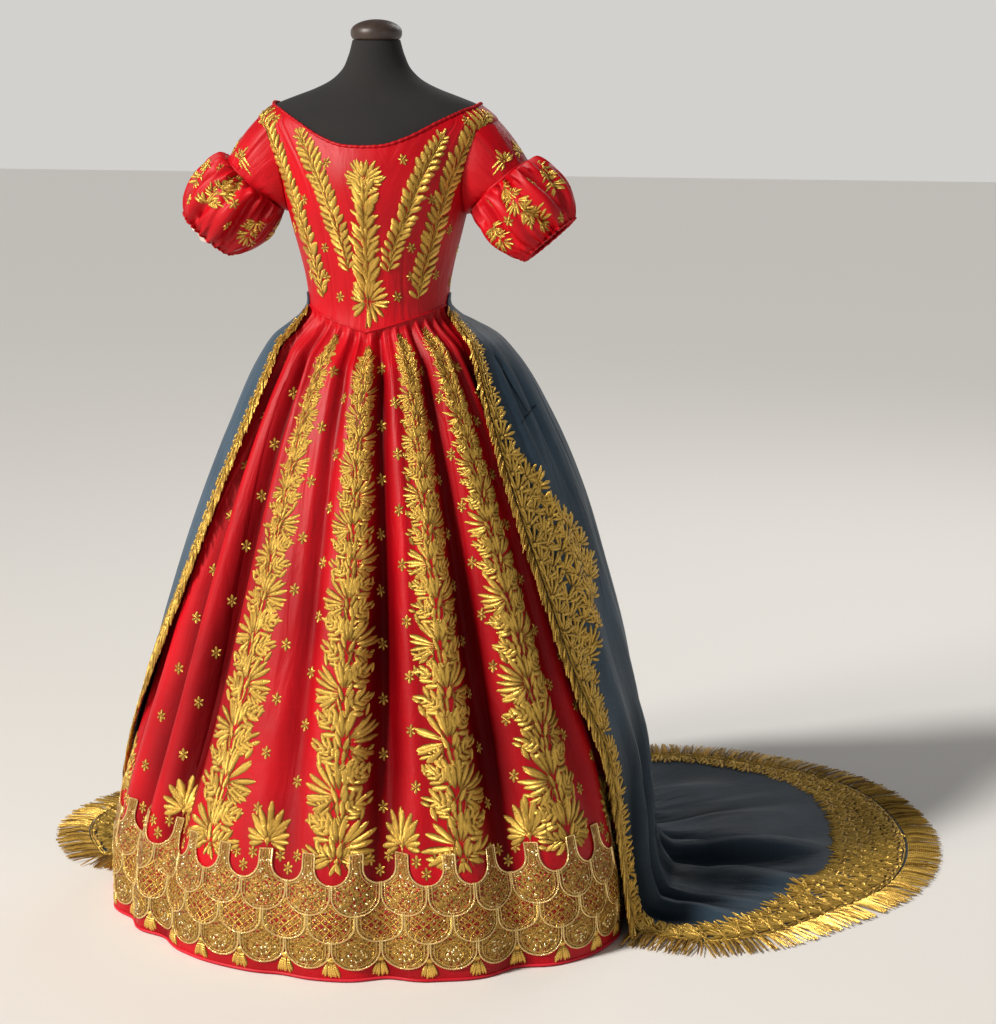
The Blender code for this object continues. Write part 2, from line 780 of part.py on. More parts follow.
def train_ridges(share, run):
    """Height of the folds on the floor: a soft crest along each, flat again at the border."""
    total = 0 * (share + run)
    for ridge in RIDGES:
        away = (share - ridge.share) / (ridge.width * (1.0 - 0.25 * run))
        along = np.exp(-(((run - ridge.peak) / 0.33) ** 2)) * ease((0.86 - run) / 0.3)
        total = total + ridge.height * np.exp(-away * away) * along
    return total


def train_grid():
    """Middle surface of the train: down the skirt, round the foot and out over the floor."""
    share = np.linspace(0, 1, TRAIN_COLUMNS + 1)
    rows = []
    for level in TRAIN_LEVELS:
        z = level + 0 * share
        out = standoff(share, z) + train_waves(share, z)
        rows.append(bell(train_angle(share, z), z, out))
    foot = bell(train_angle(share, 0 * share), 0 * share, standoff(share, 0 * share))
    foot_swell = train_waves(share, 0 * share)
    angle = REACH_LEFT + (REACH_RIGHT - REACH_LEFT) * share
    reach = read(OUTLINE, "reach", angle, key="angle")
    turn = np.radians(angle)
    edge = np.stack([reach * np.sin(turn), -reach * np.cos(turn), 0 * reach], axis=-1)
    for run, height in zip(FLOOR_SHARES, FLOOR_HEIGHTS):
        spot = foot + (edge - foot) * run
        push = foot_swell * (1 - run) ** 3
        direction = (edge - foot) / np.linalg.norm(edge - foot, axis=-1, keepdims=True)
        spot = spot + direction * push[:, None]
        spot[:, 2] = 0.5 * WALL + height + train_ridges(share, run)
        rows.append(spot)
    return np.array(rows)


def train_skins():
    """Outer and inner grid of the train; the inner one lies flat on the floor."""
    middle = train_grid()
    normal = grid_normals(middle)
    facing = np.sign(normal[-1, TRAIN_COLUMNS // 2, 2])
    outer = middle + facing * normal * 0.5 * WALL
    inner = middle - facing * normal * 0.5 * WALL
    outer[..., 2] = np.maximum(outer[..., 2], WALL)
    inner[..., 2] = np.maximum(inner[..., 2], 0.0)
    lying = middle[..., 2] < 0.5 * WALL + 0.0008
    outer[lying, 2] = np.maximum(outer[lying, 2], WALL)
    inner[lying, 2] = 0.0
    return middle, facing * normal, outer, inner


def build_train():
    """Three widths of the train, sewn side by side."""
    _, _, outer, inner = train_skins()
    cuts = (0,) + TRAIN_SEAMS + (TRAIN_COLUMNS,)
    names = ("train_left", "train_centre", "train_right")
    for name, first, last in zip(names, cuts[:-1], cuts[1:]):
        part = slice(first, last + 1)
        panel(name, outer[:, part], inner[:, part], BLUE, first > 0, last < TRAIN_COLUMNS)


def resample(line, pitch):
    """Fractional indexes along a polyline: each stretch is cut evenly, near the pitch."""
    lengths = np.linalg.norm(np.diff(line, axis=0), axis=1)
    places = []
    for index, length in enumerate(lengths):
        parts = max(1, int(round(length / pitch)))
        places += [index + part / parts for part in range(parts)]
    return np.array(places + [len(line) - 1.0])


def along_line(values, places):
    """Linear reading of a list of vectors at fractional indexes."""
    index = np.arange(len(values))
    return np.stack([np.interp(places, index, values[:, axis]) for axis in range(3)], axis=-1)


def unit(vectors):
    """Vectors scaled to length one."""
    return vectors / np.linalg.norm(vectors, axis=-1, keepdims=True)


def comb(name, root, outward, normal, tips):
    """Narrow strip along a line, with a tapering lock on each stretch of its outer side."""
    half = 0.5 * STRIP_THICK
    near = root + outward * SEAM
    far = root + outward * (SEAM + STRIP_WIDTH)
    count = len(root)
    ring = np.stack([near - normal * half, far - normal * half, far + normal * half,
                     near + normal * half], axis=1)
    points = list(ring.reshape(-1, 3))
    triangles = []

    def quad(a, b, c, d):
        triangles.extend([(a, b, c), (a, c, d)])

    for index in range(count - 1):
        start = 4 * index
        after = start + 4
        quad(start, after, after + 1, start + 1)
        quad(start + 2, after + 2, after + 3, start + 3)
        quad(start + 3, after + 3, after, start)
        neck_centre, tip, across, lift = tips(index)
        base = len(points)
        points += [neck_centre - across - lift, neck_centre + across - lift,
                   neck_centre + across + lift, neck_centre - across + lift, tip]
        corners = (start + 1, after + 1, after + 2, start + 2)
        for side in range(4):
            other = (side + 1) % 4
            quad(corners[side], corners[other], base + other, base + side)
            triangles.append((base + side, base + other, base + 4))
    quad(0, 1, 2, 3)
    last = 4 * (count - 1)
    quad(last + 3, last + 2, last + 1, last)
    return add_object(name, points, triangles, GOLD)


def floor_fringe():
    """Fringe round the end of the train, lying just clear of the floor."""
    middle, _, _, _ = train_skins()
    lying = len(TRAIN_LEVELS) + 2
    edge = np.concatenate([middle[lying:-1, 0], middle[-1], middle[-2:lying - 1:-1, -1]])
    places = resample(edge, FRINGE_PITCH)
    root = along_line(edge, places)
    tangent = unit(np.gradient(root, axis=0))
    up = np.array((0.0, 0.0, 1.0))
    outward = unit(np.cross(tangent, up))
    if outward[len(root) // 2].dot(root[len(root) // 2]) < 0:
        outward = -outward
    root[:, 2] = FRINGE_FLOOR + 0.5 * STRIP_THICK
    normal = np.broadcast_to(up, root.shape)

    def tips(index):
        middle_root = 0.5 * (root[index] + root[index + 1])
        way = unit(outward[index] + outward[index + 1])
        across = 0.5 * (root[index + 1] - root[index]) * 0.42
        neck = middle_root + way * (SEAM + STRIP_WIDTH + FRINGE_NECK)
        tip = middle_root + way * (SEAM + STRIP_WIDTH + FRINGE_LENGTH)
        tip[2] = FRINGE_FLOOR + 0.0008
        return neck, tip, across, up * 0.5 * STRIP_THICK

    comb("fringe_end", root, outward, normal, tips)


def edge_fringe(name, column, sign):
    """Fringe down one front edge of the train, its locks falling forward over the skirt."""
    middle, normals, _, _ = train_skins()
    rows = len(TRAIN_LEVELS) + 2
    line = middle[1:rows, column]
    inward = unit(middle[1:rows, column + sign] - line)
    places = resample(line, FRINGE_PITCH)
    root = along_line(line, places)
    normal = unit(along_line(normals[1:rows, column], places))
    tangent = unit(np.gradient(root, axis=0))
    outward = -unit(along_line(inward, places))
    outward = unit(outward - tangent * np.sum(outward * tangent, axis=-1, keepdims=True))
    normal = np.cross(tangent, outward)
    if normal[len(root) // 2].dot(root[len(root) // 2] * (1, 1, 0)) < 0:
        normal = -normal
    root = root + normal * 0.0010

    def tips(index):
        middle_root = 0.5 * (root[index] + root[index + 1])
        way = unit(outward[index] + outward[index + 1])
        face = unit(normal[index] + normal[index + 1])
        down = unit(root[index + 1] - root[index])
        across = 0.5 * (root[index + 1] - root[index]) * 0.36
        neck = middle_root + way * (SEAM + STRIP_WIDTH + FRINGE_NECK) + down * 0.003
        lean = unit(0.80 * way + 0.60 * down)
        tip = middle_root + way * (SEAM + STRIP_WIDTH) + lean * (0.75 * FRINGE_LENGTH)
        tip = tip + face * 0.002
        tip[2] = max(tip[2], FRINGE_FLOOR + 0.004)
        neck[2] = max(neck[2], FRINGE_FLOOR + STRIP_THICK)
        return neck, tip, across, face * 0.5 * STRIP_THICK

    comb(name, root, outward, normal, tips)


def build_fringe():
    """Three fringes: down each front edge and round the end."""
    floor_fringe()
    edge_fringe("fringe_left_edge", 0, 1)
    edge_fringe("fringe_right_edge", TRAIN_COLUMNS, -1)


def solid_of_rings(name, rings, colour):
    """Closed solid through rings of equal point counts, flat at both ends."""
    count = len(rings[0])
    points = np.concatenate(rings)
    triangles = []
    for row in range(len(rings) - 1):
        for index in range(count):
            after = (index + 1) % count
            a = row * count + index
            b = row * count + after
            triangles += [(a, b, b + count), (a, b + count, a + count)]
    last = (len(rings) - 1) * count
    for index in range(1, count - 1):
        triangles.append((0, index + 1, index))
        triangles.append((last, last + index, last + index + 1))
    return add_object(name, points, triangles, colour)


def build_form():
    """Limbless form: torso and neck in one, a cap on the neck, a pole and a round base."""
    half = [0, 10, 20, 31, 44, 58, 74, 90, 106, 121, 136, 151, 166]
    angles = np.array(half + [180] + [360 - angle for angle in half[:0:-1]], float)
    rings = []
    for level in (0.84, 0.88, 0.92, 0.955, 0.985, 1.015, 1.05, 1.09, 1.13, 1.17, 1.20, 1.23,
                  1.250, 1.267, 1.281, 1.294):
        near_waist = math.exp(-(((level - WAIST_Z) / 0.012) ** 2))
        away = FORM_CLEAR if level > WAIST_Z else FORM_HIP_CLEAR
        clear = away + (FORM_WAIST_CLEAR - away) * near_waist
        rings.append(torso(angles, level + 0 * angles, -clear))
    for section in NECK:
        rings.append(oval(angles, section.z, section.side, section.front, section.back, 0.0))
    solid_of_rings("form_torso", rings, BLACK)
    build_cap()
    turned("form_pole", (0.0, 0.0), ((POLE_RADIUS, BASE_THICK + SEAM), (POLE_RADIUS, 0.84 - SEAM)),
           16, STEEL)
    profile = ((BASE_RADIUS, 0.0), (BASE_RADIUS, BASE_THICK - 0.003),
               (BASE_RADIUS - 0.006, BASE_THICK))
    turned("form_base", (0.0, 0.0), profile, 29, STEEL)


def turned(name, centre, profile, count, colour, lean=0.0, foot=0.0):
    """Solid of revolution about an upright axis, then leaned forward about its foot."""
    turn = np.linspace(0, 2 * math.pi, count, endpoint=False)
    rings = []
    for radius, z in profile:
        x = centre[0] + radius * np.cos(turn)
        y = centre[1] + radius * np.sin(turn)
        ring = np.stack([x, y, z + 0 * x], axis=-1)
        rings.append(leaned(ring, centre, foot, lean))
    return solid_of_rings(name, rings, colour)


def leaned(points, centre, foot, lean):
    """Points turned forward by an angle about a level line through the foot."""
    y = points[:, 1] - centre[1]
    z = points[:, 2] - foot
    turned_y = y * math.cos(lean) - z * math.sin(lean)
    turned_z = y * math.sin(lean) + z * math.cos(lean)
    return np.stack([points[:, 0], centre[1] + turned_y, foot + turned_z], axis=-1)


def build_cap():
    """Domed wooden cap on the neck."""
    profile = ((0.034, 1.3925), (0.0395, 1.395), (0.0400, 1.404), (0.0370, 1.413),
               (0.0280, 1.420), (0.0140, 1.4235))
    turned("form_cap", (0.0, 0.0), profile, 20, CAP)


def main():
    for thing in list(bpy.data.objects):
        bpy.data.objects.remove(thing, do_unlink=True)
    build_form()
    build_bodice()
    build_upper_sleeves()
    build_puffs()
    build_skirt()
    build_train()
    build_fringe()


main()
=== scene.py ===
"""Looks of a court dress with a fringed train, worn by a limbless dress form.

Metres, +Z up. The dress faces -Y and +X is the wearer's left. Angles round the body are degrees
from centre front, +90 at the wearer's left side. Each cloth is a grid of points worked out from
the tables of sections and folds, with rows running down it and columns running round it. The
gold work is leaves, stars, scales, cords and strands laid on those grids.
"""
import math
from collections import namedtuple
from functools import partial

import bmesh
import bpy
import numpy as np
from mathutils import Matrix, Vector


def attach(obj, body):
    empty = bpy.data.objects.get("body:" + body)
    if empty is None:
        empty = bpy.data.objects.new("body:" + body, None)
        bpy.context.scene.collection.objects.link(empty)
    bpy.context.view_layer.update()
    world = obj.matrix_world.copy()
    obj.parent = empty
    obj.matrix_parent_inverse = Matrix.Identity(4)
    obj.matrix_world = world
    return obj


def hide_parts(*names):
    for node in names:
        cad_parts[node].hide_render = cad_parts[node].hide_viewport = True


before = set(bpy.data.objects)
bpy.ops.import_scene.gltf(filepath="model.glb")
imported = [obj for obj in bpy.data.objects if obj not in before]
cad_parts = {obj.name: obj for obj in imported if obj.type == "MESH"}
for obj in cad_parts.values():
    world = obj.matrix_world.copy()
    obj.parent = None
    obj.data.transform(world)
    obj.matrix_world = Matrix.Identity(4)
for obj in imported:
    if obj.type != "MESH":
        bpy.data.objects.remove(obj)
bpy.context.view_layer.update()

RANDOM_SEED = 7

# Cloth and seams
WALL = 0.0020
SEAM = 0.0003
LAP = 0.0005

# Waist: level at the sides and back, with a point at centre front. The solids' point hangs
# 10 mm lower.
WAIST_Z = 0.985
POINT_DROP = 0.035
POINT_REACH = 77.0
POINT_CURVE = 1.3

# Skirt
GATHERS = 40
GATHER_DEPTH = 0.006
GATHER_FADE = 0.11
FLARE_START = 0.06

# Armhole
ARMHOLE_FROM = 62.0
ARMHOLE_TO = 118.0
ARMHOLE_LOW = 1.128
ARMHOLE_HIGH = 1.268
YOKE_SHARE = 0.88

# Sleeves: the wearer's left one, mirrored for the right
SLEEVE_END = (0.199, -0.004, 1.175)
SLEEVE_DIRECTION = (0.66, -0.05, -0.75)
SLEEVE_END_RADIUS = 0.050
PUFF_RADIUS = 0.080
PUFF_LOBES = 7
PUFF_LOBE_DEPTH = 0.10

# Train
REACH_LEFT = 75.0
REACH_RIGHT = 263.0
EDGE_STANDOFF = 0.0075
SHARE_LEFT = 0.18
SHARE_BACK = 0.50
SHARE_RIGHT = 0.92


def table(kind, rows):
    """Rows as records of a kind."""
    return [kind(*row) for row in rows]


Section = namedtuple("Section", "z side front back")

# Half width, front depth and back depth of the body under the bodice
TORSO = table(Section, [
    (0.84, 0.15, 0.112, 0.118), (0.88, 0.14, 0.108, 0.108), (0.92, 0.127, 0.102, 0.097),
    (0.95, 0.118, 0.097, 0.088), (0.985, 0.112, 0.092, 0.082), (1.02, 0.115, 0.097, 0.084),
    (1.06, 0.1235, 0.107, 0.09), (1.1, 0.134, 0.119, 0.098), (1.14, 0.144, 0.127, 0.104),
    (1.18, 0.154, 0.1285, 0.107), (1.22, 0.17, 0.119, 0.106), (1.25, 0.185, 0.104, 0.1),
    (1.272, 0.1905, 0.09, 0.092), (1.297, 0.162, 0.066, 0.074),
])

# The form above the neckline: shoulder slope and neck
NECK = table(Section, [
    (1.281, 0.1765, 0.0775, 0.083), (1.294, 0.16, 0.065, 0.072), (1.306, 0.13, 0.058, 0.066),
    (1.317, 0.1, 0.053, 0.059), (1.329, 0.075, 0.05, 0.054), (1.345, 0.056, 0.046, 0.05),
    (1.368, 0.044, 0.041, 0.043), (1.392, 0.037, 0.037, 0.037),
])

# Outer envelope of the skirt, without its folds
BELL = table(Section, [
    (0.0, 0.458, 0.39, 0.48), (0.1, 0.452, 0.388, 0.475), (0.2, 0.43, 0.372, 0.46),
    (0.3, 0.4, 0.345, 0.43), (0.4, 0.368, 0.318, 0.4), (0.5, 0.336, 0.29, 0.37),
    (0.6, 0.302, 0.26, 0.335), (0.7, 0.266, 0.228, 0.295), (0.8, 0.226, 0.192, 0.25),
    (0.87, 0.194, 0.16, 0.21), (0.92, 0.166, 0.135, 0.175), (0.96, 0.14, 0.112, 0.14),
    (0.99, 0.114, 0.094, 0.095),
])

Fold = namedtuple("Fold", "waist hem width at_hip at_knee at_hem")

# Troughs of the skirt: angle at the waist and hem, half width in degrees, depths in metres
FOLDS = table(Fold, [
    (-70, -73, 4.0, 0.009, 0.014, 0.015), (-52, -57, 4.5, 0.01, 0.017, 0.022),
    (-36, -43, 5.5, 0.016, 0.03, 0.03), (-26, -33, 3.5, 0.006, 0.007, 0.004),
    (-8, -10, 3.6, 0.008, 0.011, 0.01), (11, 11, 4.6, 0.016, 0.03, 0.026),
    (21, 21, 3.5, 0.004, 0.004, 0.004), (34, 38, 5.0, 0.015, 0.028, 0.03),
    (55, 63, 4.5, 0.006, 0.011, 0.01), (66, 76, 5.0, 0.01, 0.014, 0.012),
    (95, 98, 9.0, 0.012, 0.017, 0.014), (123, 124, 9.5, 0.014, 0.02, 0.017),
    (152, 151, 9.5, 0.015, 0.021, 0.018), (181, 180, 9.5, 0.015, 0.022, 0.019),
    (210, 211, 9.5, 0.014, 0.02, 0.018), (238, 238, 9.5, 0.013, 0.018, 0.016),
    (265, 264, 8.5, 0.01, 0.015, 0.013),
])

Edge = namedtuple("Edge", "z left right")

# Front edges of the train, degrees from centre front on the wearer's left and right
TRAIN_FRONT = table(Edge, [
    (0.0, 71.0, 264.0), (0.16, 71.5, 268.0), (0.25, 72.5, 273.5), (0.31, 70.0, 279.0),
    (0.38, 67.5, 286.0), (0.45, 64.5, 291.0), (0.565, 62.5, 297.5), (0.66, 60.5, 300.5),
    (0.75, 60.0, 304.0), (0.82, 60.5, 305.5), (0.9, 65.0, 305.0), (0.965, 76.0, 296.0),
    (1.0, 86.0, 290.0),
])

Stand = namedtuple("Stand", "z left back right")

# How far the train stands off the skirt's envelope
STANDOFF = table(Stand, [
    (0.0, 0.014, 0.024, 0.013), (0.18, 0.013, 0.028, 0.013), (0.3, 0.013, 0.031, 0.013),
    (0.42, 0.028, 0.037, 0.013), (0.55, 0.038, 0.043, 0.014), (0.68, 0.047, 0.049, 0.014),
    (0.8, 0.046, 0.048, 0.012), (0.895, 0.038, 0.04, 0.012), (0.925, 0.03, 0.032, 0.011),
    (0.95, 0.02, 0.022, 0.009), (0.97, 0.01, 0.011, 0.006), (0.985, 0.002, 0.002, 0.002),
    (1.0, 0.0019, 0.0019, 0.0019),
])

Reach = namedtuple("Reach", "angle reach")

# Edge of the train's cloth on the floor: angle and distance from the origin
OUTLINE = table(Reach, [
    (75, 0.56), (80, 0.63), (90, 0.725), (100, 0.835), (110, 0.912), (120, 0.962), (131, 0.992),
    (142, 0.96), (152, 0.9), (160, 0.825), (170, 0.745), (182, 0.675), (200, 0.62), (222, 0.63),
    (237, 0.655), (250, 0.625), (263, 0.52),
])

Ridge = namedtuple("Ridge", "share width height peak")

# Folds of the train: place and width as shares of its breadth, height on the floor
RIDGES = table(Ridge, [
    (0.07, 0.018, 0.016, 0.3), (0.135, 0.022, 0.026, 0.35), (0.205, 0.02, 0.032, 0.4),
    (0.275, 0.024, 0.03, 0.3), (0.35, 0.022, 0.036, 0.25), (0.425, 0.022, 0.03, 0.3),
    (0.5, 0.022, 0.028, 0.25), (0.58, 0.024, 0.03, 0.3), (0.665, 0.024, 0.026, 0.3),
    (0.75, 0.022, 0.022, 0.35), (0.84, 0.024, 0.018, 0.35),
])

Level = namedtuple("Level", "angle z")

# Height of the neck edge round the body. In front it is up to 15 mm above the solids' edge.
NECK_EDGE = table(Level, [
    (0, 1.236), (12, 1.239), (22, 1.25), (35, 1.271), (52, 1.286), (70, 1.293), (90, 1.297),
    (115, 1.29), (140, 1.268), (160, 1.252), (180, 1.246),
])

Share = namedtuple("Share", "height angle")

# Princess seam: angle against the share of the bodice's height
PRINCESS = table(Share, [
    (0.0, 31.0), (0.25, 29.0), (0.5, 28.5), (0.75, 36.0), (1.0, 47.0),
])

PuffRing = namedtuple("PuffRing", "order along share")

# The balloon from its gathered top to the cuff: distance along the axis, share of full radius
PUFF_RINGS = table(PuffRing, [
    (0, 0.0, 0.64), (1, 0.004, 0.82), (2, 0.028, 0.97), (3, 0.062, 1.0), (4, 0.094, 0.86),
    (5, 0.112, 0.62), (6, 0.108, 0.54),
])


def read(rows, name, at, key="z"):
    """Smooth curve through one column: a cubic between rows, with slopes from the neighbours."""
    places = np.array([getattr(row, key) for row in rows], float)
    values = np.array([getattr(row, name) for row in rows], float)
    return smooth(places, values, at)


def smooth(places, values, at):
    """Cubic through values at rising places, read at other places; values may be vectors."""
    shape = (-1,) + (1,) * (values.ndim - 1)
    slopes = np.gradient(values, places, axis=0)
    at = np.clip(np.asarray(at, float), places[0], places[-1])
    low = np.clip(np.searchsorted(places, at) - 1, 0, len(places) - 2)
    step = (places[low + 1] - places[low])
    t = (at - places[low]) / step
    if values.ndim > 1:
        step = step.reshape(shape)
        t = t.reshape(shape)
    return (
        (2 * t**3 - 3 * t**2 + 1) * values[low]
        + (t**3 - 2 * t**2 + t) * step * slopes[low]
        + (3 * t**2 - 2 * t**3) * values[low + 1]
        + (t**3 - t**2) * step * slopes[low + 1]
    )


def ease(t):
    """Smooth step from 0 to 1."""
    t = np.clip(t, 0.0, 1.0)
    return t * t * (3 - 2 * t)


def wrapped(angle):
    """Angle brought to the range from -180 to 180 degrees."""
    return (np.asarray(angle, float) + 180.0) % 360.0 - 180.0


def unit(vectors):
    """Vectors scaled to length one."""
    length = np.linalg.norm(vectors, axis=-1, keepdims=True)
    return vectors / np.maximum(length, 1e-12)


def oval(angle, z, side, front, back, out):
    """Point on a section: two half ellipses, moved out along the ellipse's own normal."""
    turn = np.radians(angle)
    sine = np.sin(turn)
    cosine = np.cos(turn)
    depth = np.where(cosine > 0, front, back)
    normal = unit(np.stack([depth * sine, -side * cosine], axis=-1))
    x = side * sine + normal[..., 0] * out
    y = -depth * cosine + normal[..., 1] * out
    return np.stack([x, y, z + 0 * x], axis=-1)


def torso(angle, z, out):
    """Point of the body's surface."""
    sizes = [read(TORSO, name, z) for name in ("side", "front", "back")]
    return oval(angle, z, *sizes, out)


def waist_line(angle):
    """Height of the waist seam: level, dipping to the point at centre front."""
    near = np.clip(1 - np.abs(wrapped(angle)) / POINT_REACH, 0, 1)
    return WAIST_Z - POINT_DROP * near**POINT_CURVE


def tuck(angle, z):
    """How far the skirt's left side falls in under the weight of the train, low down."""
    round_side = ease((wrapped(angle) - 60) / 20) * ease((155 - wrapped(angle)) / 45)
    return 0.040 * round_side * ease((0.34 - z) / 0.24)


def bell(angle, z, out):
    """Skirt envelope: the body's surface at the waist seam, flaring into the bell below it."""
    share = ease((waist_line(angle) - z) / FLARE_START)
    sizes = []
    for name in ("side", "front", "back"):
        sizes.append(read(TORSO, name, z) * (1 - share) + read(BELL, name, z) * share)
    return oval(angle, z, *sizes, out - tuck(angle, z))


def fold_depth(fold, z):
    """Depth of one trough at a height: none at the seam, then hip, knee and hem values."""
    down = np.clip((WAIST_Z - z) / WAIST_Z, 0, 1)
    upper = fold.at_hip + (fold.at_knee - fold.at_hip) * ease((down - 0.15) / 0.4)
    lower = upper + (fold.at_hem - fold.at_knee) * ease((down - 0.55) / 0.4)
    return lower * ease(down / 0.12)


def folds(angle, z):
    """Sum of the troughs, each a soft groove that wanders from its waist to its hem angle."""
    down = np.clip((WAIST_Z - z) / WAIST_Z, 0, 1)
    total = 0 * (angle + z)
    for fold in FOLDS:
        middle = fold.waist + (fold.hem - fold.waist) * down
        width = fold.width * (0.75 + 0.35 * down)
        away = wrapped(angle - middle) / width
        total = total - fold_depth(fold, z) * np.exp(-away * away)
    return total


def gathers(angle, z):
    """Small pleats under the waist seam that fade out within a hand's breadth."""
    below = np.clip(waist_line(angle) - z, 0, None)
    size = GATHER_DEPTH * ease(below / 0.015) * np.exp(-((below / GATHER_FADE) ** 2))
    return -size * (0.5 + 0.5 * np.cos(np.radians(GATHERS * angle)))


def closed_ring(grid):
    """Grid of a ring with its first column again after its last."""
    return np.concatenate([grid, grid[:, :1]], axis=1)


class Cloth:
    """A surface as a grid of points, read at fractional rows and columns.

    Rows run down it and columns run round it, so that down times across points outwards. A
    ring's last column of points lies on its first.
    """

    def __init__(self, grid, ring=False):
        self.grid = grid
        self.ring = ring
        self.down = np.gradient(grid, axis=0)
        if ring:
            inner = grid[:, :-1]
            across = 0.5 * (np.roll(inner, -1, axis=1) - np.roll(inner, 1, axis=1))
            self.across = closed_ring(across)
        else:
            self.across = np.gradient(grid, axis=1)
        self.normal = unit(np.cross(self.down, self.across))

    def read(self, field, row, column):
        """Field of the grid between its points: the four corners weighted by nearness."""
        rows, columns = field.shape[:2]
        if self.ring:
            column = np.mod(column, columns - 1)
        row = np.clip(row, 0, rows - 1.0001)
        column = np.clip(column, 0, columns - 1.0001)
        r = row.astype(int)
        c = column.astype(int)
        down = (row - r)[..., None]
        side = (column - c)[..., None]
        upper = field[r, c] * (1 - side) + field[r, c + 1] * side
        lower = field[r + 1, c] * (1 - side) + field[r + 1, c + 1] * side
        return upper * (1 - down) + lower * down

    def point(self, row, column, lift=0.0):
        """Point of the cloth, raised along its normal."""
        row, column = np.broadcast_arrays(np.asarray(row, float), np.asarray(column, float))
        lift = np.broadcast_to(lift, row.shape)[..., None]
        return self.read(self.grid, row, column) + lift * unit(self.read(self.normal, row, column))

    def step(self, row, column, right, up):
        """Rows and columns to move for a step of metres to the right and up the cloth.

        Solves the two by two system of the grid's own steps across and down.
        """
        across = self.read(self.across, row, column)
        down = self.read(self.down, row, column)
        to_right = unit(across)
        to_up = unit(np.cross(np.cross(down, across), across))
        aa = np.sum(across * across, axis=-1)
        ab = np.sum(across * down, axis=-1)
        bb = np.sum(down * down, axis=-1)
        da = right * np.sum(to_right * across, axis=-1)
        db = right * np.sum(to_right * down, axis=-1) + up * np.sum(to_up * down, axis=-1)
        det = np.maximum(aa * bb - ab * ab, 1e-16)
        return (aa * db - ab * da) / det, (bb * da - ab * db) / det


# A joined mesh while it is worked out: points, arrays of faces, places for the weave, tone
Part = namedtuple("Part", "points faces uv tone")


def quads(a, b, c, d):
    """Faces of four corners from four arrays of point numbers."""
    return np.stack([a, b, c, d], axis=-1).reshape(-1, 4)


def joined(parts):
    """One part from several, with the point numbers moved on."""
    start = 0
    faces = []
    for part in parts:
        faces += [face + start for face in part.faces]
        start += len(part.points)
    return Part(
        np.concatenate([part.points for part in parts]),
        faces,
        np.concatenate([part.uv for part in parts]),
        np.concatenate([part.tone for part in parts]),
    )


def distances(points):
    """Distance in metres along a line to each of its points."""
    return np.concatenate([[0], np.cumsum(np.linalg.norm(np.diff(points, axis=0), axis=-1))])


def weave_places(grid):
    """Places for the weave: metres along the middle row and up the middle column of a grid."""
    along = distances(grid[grid.shape[0] // 2])
    down = distances(grid[:, grid.shape[1] // 2])
    return np.stack(np.broadcast_arrays(along[None], -down[:, None]), axis=-1).reshape(-1, 2)


def shell(outer, inner, keep=None, ring=False):
    """Closed wall between two grids: an outer skin, an inner skin and rims round the edges.

    A ring's grids come without the repeated last column. keep says which squares exist.
    """
    rows, columns = outer.shape[:2]
    index = np.arange(rows * columns).reshape(rows, columns)
    if ring:
        index = closed_ring(index)
    deep = index + rows * columns
    if keep is None:
        keep = np.ones((index.shape[0] - 1, index.shape[1] - 1), bool)
    near = np.pad(keep, 1)
    if ring:
        near[1:-1, 0] = keep[:, -1]
        near[1:-1, -1] = keep[:, 0]
    a, b, c, d = index[:-1, :-1], index[1:, :-1], index[1:, 1:], index[:-1, 1:]
    da, db, dc, dd = deep[:-1, :-1], deep[1:, :-1], deep[1:, 1:], deep[:-1, 1:]
    kept = keep.ravel()
    faces = [quads(a, b, c, d)[kept], quads(da, dd, dc, db)[kept]]
    sides = (
        (near[1:-1, :-2], a, b, da, db),
        (near[2:, 1:-1], b, c, db, dc),
        (near[1:-1, 2:], c, d, dc, dd),
        (near[:-2, 1:-1], d, a, dd, da),
    )
    for joins, first, second, deep_first, deep_second in sides:
        faces.append(quads(first, deep_first, deep_second, second)[kept & ~joins.ravel()])
    uv = weave_places(outer)
    points = np.concatenate([outer.reshape(-1, 3), inner.reshape(-1, 3)])
    return Part(points, faces, np.concatenate([uv, uv]), np.full(len(points), 0.5))


def tubes(paths, radius, side, sides=5, closed=False, tone=0.5):
    """Round tubes along paths: circles across each path, their first point towards a side."""
    count, steps = paths.shape[:2]
    if closed:
        tangent = unit(np.roll(paths, -1, axis=1) - np.roll(paths, 1, axis=1))
    else:
        tangent = unit(np.gradient(paths, axis=1))
    side = np.broadcast_to(side, paths.shape)
    first = unit(side - tangent * np.sum(side * tangent, axis=-1, keepdims=True))
    second = np.cross(tangent, first)
    turn = np.linspace(0, 2 * math.pi, sides, endpoint=False)
    ring = (np.cos(turn)[:, None] * first[:, :, None] + np.sin(turn)[:, None] * second[:, :, None])
    radius = np.broadcast_to(radius, (count, steps))
    points = paths[:, :, None] + radius[..., None, None] * ring
    index = np.arange(count * steps * sides).reshape(count, steps, sides)
    after = np.roll(index, -1, axis=2)
    if closed:
        faces = [quads(index, after, np.roll(after, -1, axis=1), np.roll(index, -1, axis=1))]
    else:
        faces = [quads(index[:, :-1], after[:, :-1], after[:, 1:], index[:, 1:])]
        faces += [index[:, 0, ::-1].reshape(-1, sides), index[:, -1].reshape(-1, sides)]
    lengths = np.linalg.norm(np.diff(paths, axis=1), axis=-1)
    run = np.concatenate([np.zeros((count, 1)), np.cumsum(lengths, axis=1)], axis=1)
    uv = np.stack(np.broadcast_arrays(radius[..., None] * turn, run[..., None]), axis=-1)
    tones = np.repeat(np.broadcast_to(tone, count), steps * sides)
    return Part(points.reshape(-1, 3), faces, uv.reshape(-1, 2), tones)


def linked(name, data):
    """New object in the scene."""
    made = bpy.data.objects.new(name, data)
    bpy.context.scene.collection.objects.link(made)
    return made


